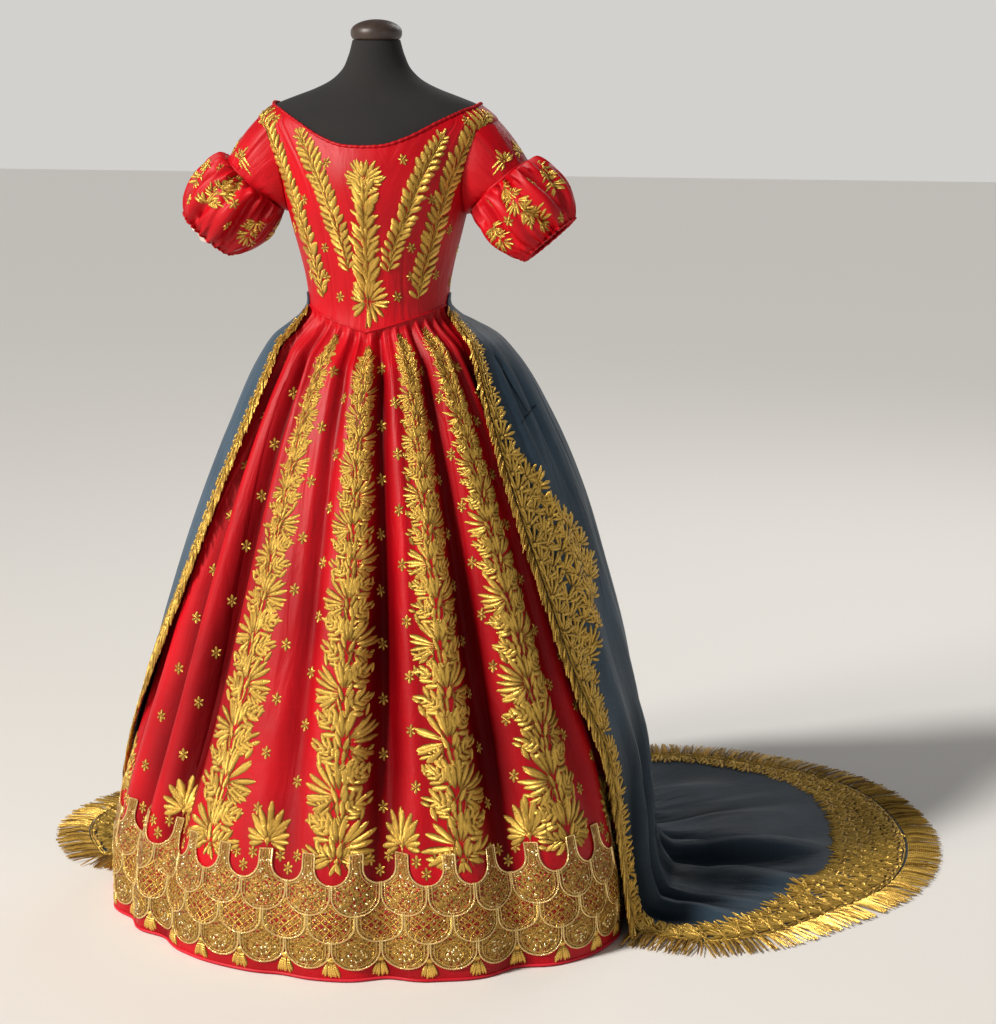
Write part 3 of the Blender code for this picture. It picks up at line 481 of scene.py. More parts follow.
def aimed(name, data, place, way):
    """New object at a place, looking or shining along a way."""
    made = linked(name, data)
    made.location = place
    made.rotation_mode = "QUATERNION"
    made.rotation_quaternion = Vector(way).to_track_quat("-Z", "Y")
    return made


def put(name, part, finish, slot, *nodes, weld=False):
    """Mesh object from a part, with its finish, on the root body, standing for CAD nodes."""
    used = np.unique(np.concatenate([face.ravel() for face in part.faces]))
    places = np.zeros(len(part.points), int)
    places[used] = np.arange(len(used))
    faces = [places[face] for face in part.faces if len(face)]
    loops = np.concatenate([face.ravel() for face in faces])
    totals = np.concatenate([np.full(len(face), face.shape[1]) for face in faces])
    starts = np.concatenate([[0], np.cumsum(totals)[:-1]])
    mesh = bpy.data.meshes.new(name)
    mesh.vertices.add(len(used))
    mesh.vertices.foreach_set("co", part.points[used].astype(np.float32).ravel())
    mesh.loops.add(len(loops))
    mesh.loops.foreach_set("vertex_index", loops.astype(np.int32))
    mesh.polygons.add(len(totals))
    mesh.polygons.foreach_set("loop_start", starts.astype(np.int32))
    mesh.polygons.foreach_set("loop_total", totals.astype(np.int32))
    mesh.update(calc_edges=True)
    layer = mesh.uv_layers.new(name="weave")
    layer.data.foreach_set("uv", part.uv[used][loops].astype(np.float32).ravel())
    tone = mesh.attributes.new("tone", "FLOAT", "POINT")
    tone.data.foreach_set("value", part.tone[used].astype(np.float32))
    mesh.materials.append(finish)
    if weld:
        welded(mesh)
    mesh.shade_smooth()
    mesh.set_sharp_from_angle(angle=math.radians(60))
    piece = linked(name, mesh)
    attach(piece, "root")
    if nodes:
        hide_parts(*nodes)
    return piece


SHEETS = []


def sheet_of(piece, grid, held, rests_on):
    """Keep a cloth's cut for later: its longest row by its longest column, and its area."""
    width = np.linalg.norm(np.diff(grid, axis=1), axis=-1).sum(axis=1).max()
    length = np.linalg.norm(np.diff(grid, axis=0), axis=-1).sum(axis=0).max()
    areas = np.zeros(len(piece.data.polygons))
    piece.data.polygons.foreach_get("area", areas)
    SHEETS.append((piece, (float(width), float(length)), held, rests_on, 0.5 * areas.sum()))


def declare_sheets():
    """Each kept cloth's area, held to no more than its flat cut."""
    for piece, flat, held, rests_on, area in SHEETS:
        area = min(float(area), flat[0] * flat[1])


def welded(mesh):
    """Mesh with the points that lie on each other joined, and its empty faces gone."""
    work = bmesh.new()
    work.from_mesh(mesh)
    bmesh.ops.remove_doubles(work, verts=work.verts[:], dist=0.00001)
    bmesh.ops.dissolve_degenerate(work, edges=work.edges[:], dist=0.00001)
    work.to_mesh(mesh)
    work.free()


# Finishes

def linear(code):
    """Linear colour from an sRGB hex code."""
    values = [int(code[place:place + 2], 16) / 255 for place in (1, 3, 5)]
    return [v / 12.92 if v <= 0.04045 else ((v + 0.055) / 1.055) ** 2.4 for v in values] + [1.0]


# The output that each kind of node is read at
OUTPUTS = {"UVMap": "UV", "TexCoord": "Object", "Mapping": "Vector", "TexWave": "Fac",
           "TexNoise": "Fac", "TexVoronoi": "Distance", "MapRange": "Result", "Mix": "Result",
           "Attribute": "Fac", "Math": "Value", "VectorMath": "Vector", "Bump": "Normal",
           "SeparateColor": "Red", "SeparateXYZ": "Z"}


def plug(value, socket):
    """Links an output to a socket, or sets the socket's plain value."""
    if isinstance(value, bpy.types.NodeSocket):
        socket.id_data.links.new(value, socket)
    else:
        socket.default_value = value


def node(tree, kind, *values, **named):
    """Adds a node and gives the output that it is read at.

    Values go into its inputs in order, or by name with _ for a space. Names in small letters
    are its own settings.
    """
    made = tree.nodes.new("ShaderNode" + kind)
    for name, value in named.items():
        if name.islower():
            setattr(made, name, value)
    for place, value in enumerate(values):
        plug(value, made.inputs[place])
    feed(made, **{name: value for name, value in named.items() if not name.islower()})
    return made.outputs[OUTPUTS[kind]]


def feed(shader, **values):
    """Values or outputs for a node's inputs, by name with _ for a space."""
    for name, value in values.items():
        plug(value, shader.inputs[name.replace("_", " ")])


def finish_of(name, roughness, metallic=0.0, **inputs):
    """New material with its shader's plain values set on their own sockets."""
    made = bpy.data.materials.new(name)
    made.use_nodes = True
    shader = made.node_tree.nodes["Principled BSDF"]
    feed(shader, Roughness=roughness, Metallic=metallic, **inputs)
    return made, partial(node, made.node_tree), shader


# Specular level of the silk; the silk multiplies it by its painted shade, so the folds gleam less
SILK_GLEAM = 0.22
WAVE = 0.314   # scale of a wave texture whose bands lie one metre apart


def silk(name, dark, light, sheen_colour, thread, roughness, slub):
    """Woven silk: fine crossed threads, slubs along the weft, soft crumple in the hand.

    Threads are drawn about twice as coarse as real ones so that they show from near by. Shade
    is painted into the hollows, where tone is under a half: the colour darkens and the gleam
    drops.
    """
    made, add, shader = finish_of(name, roughness, Sheen_Weight=0.05, Sheen_Roughness=0.30,
                                  Sheen_Tint=linear(sheen_colour))
    place = add("UVMap", uv_map="weave")
    warp = add("TexWave", Vector=place, Scale=WAVE / thread, Distortion=0.4, bands_direction="X")
    weft = add("TexWave", Vector=place, Scale=WAVE / thread, Distortion=0.6, bands_direction="Y")
    stretch = add("Mapping", Vector=place, Scale=(26.0, 620.0, 1.0))
    slubs = add("TexNoise", Vector=stretch, Scale=1.0, Detail=2.0)
    drawn = add("Mapping", Vector=place, Scale=(46.0, 9.0, 1.0))
    crumple = add("TexNoise", Vector=drawn, Scale=1.0, Detail=3.0, Roughness=0.5, Distortion=0.5)
    cloud = add("TexNoise", Vector=add("TexCoord"), Scale=5.0, Detail=2.0)
    ramp = add("MapRange", Value=cloud, From_Min=0.35, From_Max=0.65)
    tint = add("Mix", Factor=ramp, A=linear(dark), B=linear(light), data_type="RGBA")
    deep = add("MapRange", Value=slubs, From_Min=0.3, From_Max=0.7, To_Min=1.0 - slub, To_Max=1.0)
    # Painted shade: tone under a half darkens the colour in the folds, and below it also cuts the
    # gleam there
    painted_shade_tone = add("Attribute", attribute_name="tone")
    shade = add("MapRange", Value=painted_shade_tone, From_Max=0.5, To_Min=0.28, To_Max=1.0)
    wear_and_shade = add("VectorMath", tint, shade, operation="MULTIPLY")
    threads = add("Math", warp, weft, operation="ADD")
    fine = add("Bump", Height=threads, Strength=0.25, Distance=0.0001)
    coarse = add("Bump", Height=slubs, Strength=0.35, Distance=0.0004, Normal=fine)
    soft = add("Bump", Height=crumple, Strength=0.5, Distance=0.006, Normal=coarse)
    feed(shader, Base_Color=add("VectorMath", wear_and_shade, deep, operation="MULTIPLY"),
         Specular_IOR_Level=add("Math", shade, SILK_GLEAM, operation="MULTIPLY"), Normal=soft)
    return made


def metal_thread(name, dark, light, stitch, roughness, turn=0.6, metallic=0.72):
    """Gilt metal thread couched side by side: fine ribs across each leaf, glints between them,
    partly from the bump and partly painted as lighter colour along the ribs.
    """
    made, add, shader = finish_of(name, roughness, metallic)
    turned = add("Mapping", Vector=add("UVMap", uv_map="weave"), Rotation=(0.0, 0.0, turn))
    ribs = add("TexWave", Vector=turned, Scale=WAVE / stitch, Distortion=0.8, Detail=1.0,
               bands_direction="Y")
    tone = add("Attribute", attribute_name="tone")
    wear_and_shade = add("TexNoise", Vector=add("TexCoord"), Scale=160.0, Detail=2.0)
    # Colour: random wear noise plus the tone attribute, which carries each piece's own tone and
    # the painted highlight and shade of padded leaves and beads; the ribs add painted glints
    both = add("Math", wear_and_shade, 0.6, tone, operation="MULTIPLY_ADD")
    ribbed = add("Math", ribs, 0.3, both, operation="MULTIPLY_ADD")
    share = add("MapRange", Value=ribbed, From_Min=0.40, From_Max=1.40)
    colour = add("Mix", Factor=share, A=linear(dark), B=linear(light), data_type="RGBA")
    gloss = add("MapRange", Value=wear_and_shade, From_Min=0.3, From_Max=0.7, To_Min=roughness + 0.10,
                To_Max=roughness - 0.10)
    bump = add("Bump", Height=ribs, Strength=0.8, Distance=0.0005)
    rough = add("Bump", Height=wear_and_shade, Strength=0.5, Distance=0.0010, Normal=bump)
    feed(shader, Base_Color=colour, Roughness=gloss, Normal=rough)
    return made


SPANGLE = 0.0026


def spangled_ground(name, red):
    """Ground of gilt spangles; red says what share of it the silk shows through."""
    made, add, shader = finish_of(name, 0.40, 0.6)
    cells = add("TexVoronoi", Vector=add("UVMap", uv_map="weave"), Scale=1 / SPANGLE,
                Randomness=0.8)
    split = add("SeparateColor", Color=cells.node.outputs["Color"])
    # Painted shade: the colour darkens towards each spangle's rim, where they meet; the same field
    # also makes the bump
    edge = add("MapRange", Value=cells, From_Min=0.15, From_Max=0.62, To_Min=1.0, To_Max=0.0)
    both = add("Math", edge, 0.5, split, operation="MULTIPLY_ADD")
    share = add("MapRange", Value=both, From_Min=0.1, From_Max=1.4)
    gilt = add("Mix", Factor=share, A=linear("#60420f"), B=linear("#d0a24c"), data_type="RGBA")
    bare = add("Math", split.node.outputs["Blue"], red, operation="LESS_THAN")
    colour = add("Mix", Factor=bare, A=gilt, B=linear("#8e0c10"), data_type="RGBA")
    gloss = add("MapRange", Value=split.node.outputs["Green"], To_Min=0.25, To_Max=0.55)
    bump = add("Bump", Height=edge, Strength=0.9, Distance=0.0008)
    feed(shader, Base_Color=colour, Roughness=gloss, Normal=bump)
    return made


def knitted_cover():
    """Black cotton jersey stretched over the padded form: matt, with a fine rib."""
    made, add, shader = finish_of("black_jersey", 0.9, Sheen_Weight=0.04, Sheen_Roughness=0.5)
    where = add("TexCoord")
    rib = add("TexWave", Vector=where, Scale=180.0, Distortion=1.0, bands_direction="X")
    cloud = add("TexNoise", Vector=where, Scale=14.0, Detail=4.0)
    colour = add("Mix", Factor=cloud, A=linear("#0b0909"), B=linear("#171312"), data_type="RGBA")
    bump = add("Bump", Height=rib, Strength=0.3, Distance=0.0004)
    feed(shader, Base_Color=colour, Normal=bump)
    return made


def stained_wood():
    """Turned beech, stained dark brown and waxed: long grain and a soft shine."""
    made, add, shader = finish_of("stained_beech", 0.42)
    stretch = add("Mapping", Vector=add("TexCoord"), Scale=(90.0, 12.0, 90.0))
    grain = add("TexNoise", Vector=stretch, Scale=1.0, Detail=5.0, Roughness=0.6)
    colour = add("Mix", Factor=grain, A=linear("#211815"), B=linear("#4a3a33"), data_type="RGBA")
    bump = add("Bump", Height=grain, Strength=0.25, Distance=0.0006)
    feed(shader, Base_Color=colour, Normal=bump)
    return made


def lacquered_steel():
    """Steel tube and plate under black lacquer: smooth, with faint orange peel."""
    made, add, shader = finish_of("black_lacquered_steel", 0.3, Base_Color=linear("#1c1c1e"))
    peel = add("TexNoise", Vector=add("TexCoord"), Scale=300.0, Detail=2.0)
    feed(shader, Normal=add("Bump", Height=peel, Strength=0.15, Distance=0.0003))
    return made


def plain_floor():
    """Pale painted floor."""
    return finish_of("pale_floor", 0.75, Base_Color=linear("#dedad4"))[0]


RED_SILK = silk("red_silk_satin", "#98000c", "#bc0012", "#ff6a5c", 0.0011, 0.46, 0.10)
BLUE_SILK = silk("slate_silk_faille", "#2b3b48", "#3e5160", "#8fa3b8", 0.0014, 0.48, 0.18)
WHITE_COTTON = silk("white_cotton_lining", "#cfc6b6", "#e4ddd0", "#ffffff", 0.0012, 0.7, 0.05)
GOLD_LEAF = metal_thread("gilt_purl_thread", "#6a4510", "#eabf58", 0.0011, 0.34)
GOLD_CORD = metal_thread("bright_gilt_cord", "#a87a2c", "#ffe29a", 0.0026, 0.27, turn=0.7)
GOLD_GROUND = {
    "lower": spangled_ground("spangled_ground_plain", 0.06),
    "middle": spangled_ground("spangled_ground_red", 0.40),
    "upper": spangled_ground("spangled_ground_flecked", 0.16),
}
GOLD_FRINGE = metal_thread("gilt_bullion_twist", "#6c4a12", "#e8bc58", 0.0030, 0.34, turn=0.5)
SEQUINS = metal_thread("gilt_sequins", "#d8b050", "#fff4c4", 0.0040, 0.20, metallic=0.9)
RED_FOIL = metal_thread("red_foil_spangles", "#8a0a10", "#e02a2c", 0.0040, 0.25, metallic=0.7)
HEM_SILK = silk("rose_silk_cord", "#b4101e", "#d02838", "#ff9a9a", 0.0011, 0.45, 0.05)


# Skirt

SKIRT_COLUMNS = 360
SKIRT_ROWS = 104
SKIRT_START = -42.0
SKIRT_EVEN = 0.55
FOLD_GAIN = 1.7
HEM_GAIN = 0.7
FOLD_SHADE = 0.034

Crease = namedtuple("Crease", "angle z angle_end z_end width depth")

# Soft creases in the skirt's silk between the large folds, widths and depths in metres
SKIRT_CREASES = table(Crease, [
    (-14, 0.7, -16, 0.42, 0.01, 0.003), (-12, 0.55, -18, 0.36, 0.008, 0.0026),
    (-17, 0.84, -15, 0.62, 0.007, 0.0028), (-13, 0.34, -14, 0.2, 0.012, 0.0022),
    (15, 0.8, 16, 0.52, 0.008, 0.0026), (16, 0.46, 15, 0.24, 0.01, 0.0022),
    (-40, 0.78, -44, 0.5, 0.009, 0.0028), (-46, 0.48, -49, 0.22, 0.011, 0.0024),
    (40, 0.74, 44, 0.42, 0.009, 0.0026), (41, 0.36, 45, 0.2, 0.01, 0.0022),
    (63, 0.6, 68, 0.3, 0.012, 0.0026), (-66, 0.7, -68, 0.3, 0.012, 0.0026),
    (7, 0.9, 8, 0.72, 0.006, 0.0026), (-4, 0.9, -5, 0.74, 0.006, 0.0022),
    (82, 0.76, 84, 0.36, 0.014, 0.003), (110, 0.8, 108, 0.4, 0.014, 0.0032),
    (138, 0.7, 137, 0.3, 0.015, 0.0034), (166, 0.82, 165, 0.44, 0.013, 0.0032),
    (196, 0.74, 194, 0.32, 0.015, 0.0034), (224, 0.8, 225, 0.42, 0.013, 0.003),
    (252, 0.72, 251, 0.34, 0.014, 0.0032),
])


def crease(x, y, start, end, width, depth):
    """Soft trough along a line: deepest half way, fading to nothing at both ends."""
    way = (end[0] - start[0], end[1] - start[1])
    length = math.hypot(*way)
    along = ((x - start[0]) * way[0] + (y - start[1]) * way[1]) / length**2
    away = ((x - start[0]) * way[1] - (y - start[1]) * way[0]) / length
    fade = np.sin(np.pi * np.clip(along, 0, 1))
    return -depth * fade * np.exp(-((away / width) ** 2))


def skirt_creases(angle, z):
    """Sum of the soft creases, with angles turned to metres at the bell's width."""
    breadth = np.radians(1) * (0.5 * (read(BELL, "side", z) + read(BELL, "front", z)))
    total = 0 * (angle + z)
    for line in SKIRT_CREASES:
        x = wrapped(angle - line.angle) * breadth
        end = wrapped(line.angle_end - line.angle) * float(np.mean(breadth))
        total = total + crease(x, z, (0.0, line.z), (end, line.z_end), line.width, line.depth)
    return total


def skirt_row(angle, z):
    """Row of the skirt's grid at a height: rows run from the seam to the floor, closer on top."""
    down = np.clip(1 - z / (waist_line(angle) - 0.5 * SEAM), 0, 1)
    even = SKIRT_EVEN
    share = (-even + np.sqrt(even * even + 4 * (1 - even) * down)) / (2 * (1 - even))
    return share * SKIRT_ROWS


def skirt_column(angle):
    """Column of the skirt's grid at an angle."""
    return np.mod(np.asarray(angle, float) - SKIRT_START, 360.0) * SKIRT_COLUMNS / 360.0


def skirt_grid():
    """Angles and heights of the whole skirt, as skirt_row spaces them."""
    angle = SKIRT_START + 360.0 * np.arange(SKIRT_COLUMNS + 1) / SKIRT_COLUMNS
    share = np.linspace(0, 1, SKIRT_ROWS + 1)[:, None]
    down = share * (SKIRT_EVEN + (1 - SKIRT_EVEN) * share)
    z = (waist_line(angle) - 0.5 * SEAM) * (1 - down)
    return np.broadcast_to(angle, z.shape), z


def skirt_out(angle, z):
    """How far the silk lies from the envelope: folds, gathers and creases."""
    below = np.clip(waist_line(angle) - z, 0, None)
    fine = 0.0012 * ease(below / 0.02) * np.exp(-((below / 0.06) ** 2))
    pucker = fine * np.cos(np.radians(2 * GATHERS * angle + 40 * np.sin(np.radians(7 * angle))))
    gain = HEM_GAIN + (FOLD_GAIN - HEM_GAIN) * ease(z / 0.42)
    return gain * folds(angle, z) + gathers(angle, z) + skirt_creases(angle, z) + pucker


def fold_shade_tone(out):
    """Tone that paints shade into the silk's folds: a half on the crests, less in the deep folds.
    """
    return 0.5 - 0.5 * ease(-out / FOLD_SHADE)


def seam_drawn(outer, inner, left=True, right=True):
    """Grids with the side columns drawn in by half a seam gap."""
    outer = outer.copy()
    inner = inner.copy()
    for use, place, beside in ((left, 0, 1), (right, -1, -2)):
        if use:
            way = 0.5 * SEAM * unit(outer[:, beside] - outer[:, place])
            outer[:, place] += way
            inner[:, place] += way
    return outer, inner


def make_skirt():
    """Five gathered widths; returns the whole skirt's cloth for the gold laid on it."""
    angle, z = skirt_grid()
    out = skirt_out(angle, z)
    outer = bell(angle, z, out)
    inner = bell(angle, z, out - WALL)
    widths = {
        "skirt_front": (-42, 39),
        "skirt_side_left": (39, 111),
        "skirt_back_left": (111, 180),
        "skirt_back_right": (180, 249),
        "skirt_side_right": (249, 318),
    }
    for name, (first, last) in widths.items():
        part = slice(int((first - SKIRT_START) * SKIRT_COLUMNS / 360),
                     int((last - SKIRT_START) * SKIRT_COLUMNS / 360) + 1)
        wall = shell(*seam_drawn(outer[:, part], inner[:, part]))
        # Painted shade: the tone falls in the deep folds, darkening the silk there
        wall = wall._replace(tone=np.tile(fold_shade_tone(out[:, part]).ravel(), 2))
        piece = put(name + "_silk", wall, RED_SILK, "red_silk", name)
        sheet_of(piece, outer[:, part], "gathered", ["form_torso"])
    return Cloth(outer, ring=True)


# Bodice

BODICE_RISE = 46
YOKE_RISE = 12
HOLE_OPEN = 0.0003          # the armhole's two edges meet where they are nearer than this
GROOVE_DEPTH = 0.0010
GROOVE_WIDTH = 0.0028
OTHER_SIDE = 720.0          # stands for an angle too far away to take a crease


def armhole(angle):
    """Lower and upper edge of the armhole at an angle; they meet at its two ends."""
    middle = 0.5 * (ARMHOLE_FROM + ARMHOLE_TO)
    away = (np.abs(wrapped(angle)) - middle) / (0.5 * (ARMHOLE_TO - ARMHOLE_FROM))
    open_share = np.sqrt(np.clip(1 - away * away, 0, 1))
    corner = yoke_line(angle)
    low = corner - (corner - ARMHOLE_LOW) * open_share
    high = corner + (ARMHOLE_HIGH - corner) * open_share
    return low, high


def yoke_line(angle):
    """Height of the row where the strap begins."""
    bottom = waist_line(angle)
    return bottom + YOKE_SHARE * (neck_edge(angle) - bottom)


def neck_edge(angle):
    """Height of the neck edge at an angle."""
    return read(NECK_EDGE, "z", np.abs(wrapped(angle)), key="angle")


def princess(shares):
    """Angle of the left princess seam at shares of the bodice's height."""
    return read(PRINCESS, "angle", shares, key="height")


# Pulls in the fitted silk: from under the arm, at the waist and across the bust
BODICE_CREASES = table(Crease, [
    (60, 1.15, 34, 1.12, 0.007, 0.0012), (58, 1.128, 30, 1.085, 0.008, 0.0012),
    (-60, 1.15, -34, 1.122, 0.007, 0.0012), (-58, 1.126, -30, 1.088, 0.008, 0.0012),
    (70, 1.02, 34, 1.005, 0.006, 0.001), (-70, 1.022, -34, 1.004, 0.006, 0.001),
    (52, 1.2, 40, 1.252, 0.006, 0.001), (-52, 1.2, -40, 1.252, 0.006, 0.001),
    (120, 1.12, 165, 1.09, 0.009, 0.0014), (-120, 1.12, -165, 1.09, 0.009, 0.0014),
    (120, 1.18, 168, 1.16, 0.009, 0.0014), (-120, 1.18, -168, 1.16, 0.009, 0.0014),
])


def bodice_out(angle, z):
    """Grooves along the seams, and the soft pulls."""
    angle = wrapped(angle)
    bottom = waist_line(angle)
    share = np.clip((z - bottom) / (neck_edge(angle) - bottom), 0, 1)
    breadth = np.radians(1) * read(TORSO, "side", z)
    total = 0 * (angle + z)
    for seam in (princess(share), 90.0, 180.0):
        away = (np.abs(angle) - seam) * breadth
        total = total - GROOVE_DEPTH * np.exp(-((away / GROOVE_WIDTH) ** 2))
    for line in BODICE_CREASES:
        side = 1 if line.angle > 0 else -1
        near = np.where(side * angle > -20, angle, OTHER_SIDE)
        x = (near - line.angle) * breadth
        end = (line.angle_end - line.angle) * float(np.mean(breadth))
        total = total + crease(x, z, (0.0, line.z), (end, line.z_end), line.width, line.depth)
    return total


def bodice_panel(name, first, last, steps, fixed):
    """Bodice wall: columns between two seams, then columns at fixed angles.

    Rows run up to the armhole's lower edge or the yoke line, then from its upper edge to the
    neck, and the squares between the two edges are left out where the hole is open.
    """
    rise = np.linspace(0, 1, BODICE_RISE)
    yoke = np.linspace(0, 1, YOKE_RISE)
    shares = np.concatenate([YOKE_SHARE * rise, YOKE_SHARE + (1 - YOKE_SHARE) * yoke])
    columns = [first(shares) + (last(shares) - first(shares)) * step for step in steps]
    columns += [0 * shares + angle for angle in fixed]
    angle = np.array(columns).T
    low, high = armhole(angle)
    bottom = waist_line(angle) + 0.5 * SEAM
    z = np.empty_like(angle)
    z[:BODICE_RISE] = bottom[:BODICE_RISE] + (low - bottom)[:BODICE_RISE] * rise[:, None]
    neck = neck_edge(angle[BODICE_RISE:])
    z[BODICE_RISE:] = high[BODICE_RISE:] + (neck - high[BODICE_RISE:]) * yoke[:, None]
    hole = z[BODICE_RISE] - z[BODICE_RISE - 1] > HOLE_OPEN
    keep = np.ones((z.shape[0] - 1, z.shape[1] - 1), bool)
    keep[BODICE_RISE - 1] = ~(hole[:-1] | hole[1:])
    out = bodice_out(angle, z)
    grids = torso(angle, z, out)[::-1], torso(angle, z, out - WALL)[::-1]
    keep = keep[::-1]
    bodice_half(name[0], *grids, keep)
    if len(name) > 1:
        bodice_half(name[1], *[mirror(grid) for grid in grids], keep[:, ::-1])


def bodice_half(name, outer, inner, keep):
    """One bodice wall with its seam gaps."""
    wall = shell(*seam_drawn(outer, inner), keep=keep)
    piece = put(name + "_silk", wall, RED_SILK, "red_silk", name, weld=True)
    sheet_of(piece, outer, "stretched", ["form_torso"])


def mirror(grid):
    """The same grid on the wearer's right, its columns in the other order."""
    return grid[:, ::-1] * np.array((-1.0, 1.0, 1.0))


def make_bodice():
    """Pointed front, two side fronts with the straps, two backs; returns the work's cloth."""
    def mirrored(shares):
        return -princess(shares)

    def hole_start(shares):
        return 0 * shares + ARMHOLE_FROM

    half = 0.5 * (ARMHOLE_TO - ARMHOLE_FROM)
    spread = np.linspace(0, math.pi, 45)
    hole = ARMHOLE_FROM + half * (1 - np.cos(spread))
    middle = len(hole) // 2
    bodice_panel(("bodice_front",), mirrored, princess, np.linspace(0, 1, 61), ())
    names = ("bodice_side_front_left", "bodice_side_front_right")
    bodice_panel(names, princess, hole_start, np.linspace(0, 1, 25)[:-1], hole[:middle + 1])
    names = ("bodice_back_left", "bodice_back_right")
    back = np.concatenate([hole[middle:], np.linspace(ARMHOLE_TO, 180, 32)[1:]])
    bodice_panel(names, princess, hole_start, (), back)
    angle = np.arange(-180, 180.5, 1.5)
    share = np.linspace(1, 0, BODICE_COLUMNS)[:, None]
    bottom = waist_line(angle)
    z = bottom + (neck_edge(angle) - bottom) * share
    angle = np.broadcast_to(angle, z.shape)
    return Cloth(torso(angle, z, bodice_out(angle, z)), ring=True)


BODICE_COLUMNS = 81


def bodice_place(angle, z):
    """Row and column of the bodice's cloth at an angle and height."""
    bottom = waist_line(angle)
    share = (z - bottom) / (neck_edge(angle) - bottom)
    return (1 - share) * (BODICE_COLUMNS - 1), np.mod(angle + 180.0, 360.0) / 1.5


# Sleeves

def sleeve_frame():
    """Axis of the sleeve's end and two directions across it: up-outward and forward."""
    axis = np.array(SLEEVE_DIRECTION)
    axis /= np.linalg.norm(axis)
    forward = np.array((0.0, -1.0, 0.0))
    forward -= axis * forward.dot(axis)
    forward /= np.linalg.norm(forward)
    return axis, np.cross(forward, axis), forward


def sleeve_circle(turn, radius, along):
    """Ring across the sleeve's axis: angle turned from up-outward towards the front."""
    axis, up, forward = sleeve_frame()
    centre = np.array(SLEEVE_END) + np.asarray(along)[..., None] * axis
    ring = np.cos(turn)[..., None] * up + np.sin(turn)[..., None] * forward
    return centre + np.asarray(radius)[..., None] * ring


def both_sides(name, outer, inner, held, rests_on):
    """Wall of the left sleeve's tube and its mirror image; returns both cloths."""
    cloths = []
    for side, turned in (("left", np.asarray), ("right", mirror)):
        grid = turned(outer)
        wall = shell(grid, turned(inner), ring=True)
        piece = put(name + side + "_silk", wall, RED_SILK, "red_silk", name + side)
        cloths.append(Cloth(closed_ring(grid), ring=True))
        sheet_of(piece, cloths[-1].grid, held, [rests_on + side])
    return cloths


def near_turn(turn, middle):
    """Turn from a middle one, in radians from minus to plus a half turn."""
    return np.mod(turn - middle + math.pi, 2 * math.pi) - math.pi


def make_upper_sleeves():
    """Short tapering tube from the armhole's edge to the ring where the puff is gathered on."""
    half = 0.5 * (ARMHOLE_TO - ARMHOLE_FROM)
    angles = ARMHOLE_FROM + half * (1 - np.cos(np.linspace(0, math.pi, 61)))
    low, high = armhole(angles)
    around = np.concatenate([angles, angles[-2:0:-1]])
    heights = np.concatenate([high, low[-2:0:-1]])
    rim = torso(around, heights, LAP)
    middle = rim.mean(axis=0)
    turn = np.arctan2(-(rim[:, 1] - middle[1]) / 0.048, (rim[:, 2] - middle[2]) / 0.070)
    end = sleeve_circle(turn, SLEEVE_END_RADIUS, -0.5 * SEAM)
    wide = sleeve_circle(turn, SLEEVE_END_RADIUS + WALL, -0.5 * SEAM)
    spread = rim - middle
    spread[:, 0] = 0
    spread = unit(spread)
    lip = rim + spread * WALL + torso(around, heights, LAP + 0.0003) - rim
    inner = []
    outer = []
    for share in np.linspace(0, 1, 22):
        bulge = 0.004 * math.sin(math.pi * share) * spread
        pucker = 0.0009 * np.cos(17 * turn + 2 * np.sin(3 * turn)) * ease((share - 0.45) / 0.5)
        pucker = pucker * (1 - ease((share - 0.93) / 0.07))
        ripple = spread * pucker[:, None]
        inner.append(rim + (end - rim) * share + bulge + ripple)
        outer.append(lip + (wide - lip) * share + bulge + ripple)
    inner = np.array(inner)
    outer = np.array(outer)
    return both_sides("sleeve_upper_", outer, inner, "stretched", "bodice_side_front_")


# Creases of the balloon: turn in radians and place along the rings, then width and depth
PuffCrease = namedtuple("PuffCrease", "turn order turn_end order_end width depth")
PUFF_CREASES = table(PuffCrease, [
    (0.9, 0.9, 0.5, 4.2, 0.12, 0.01), (1.9, 1.0, 2.2, 4.4, 0.11, 0.009),
    (1.35, 2.6, 1.0, 5.2, 0.09, 0.007), (2.9, 0.9, 2.8, 4.8, 0.12, 0.01),
    (3.9, 1.1, 4.2, 4.6, 0.12, 0.009), (4.9, 0.9, 4.7, 4.3, 0.12, 0.0095),
    (5.8, 1.0, 6.0, 4.7, 0.12, 0.0095), (0.2, 1.8, 0.45, 5.0, 0.1, 0.007),
    (1.6, 0.8, 1.5, 2.6, 0.08, 0.007), (2.4, 0.8, 2.45, 2.4, 0.07, 0.006),
    (3.4, 0.8, 3.45, 2.6, 0.07, 0.006), (4.4, 0.8, 4.35, 2.4, 0.07, 0.006),
    (5.4, 0.8, 5.3, 2.6, 0.07, 0.006),
])
PUFF_PLEATS = 16
PUFF_PLEAT = 0.0050
PUFF_ROWS = 46
PUFF_COLUMNS = 144


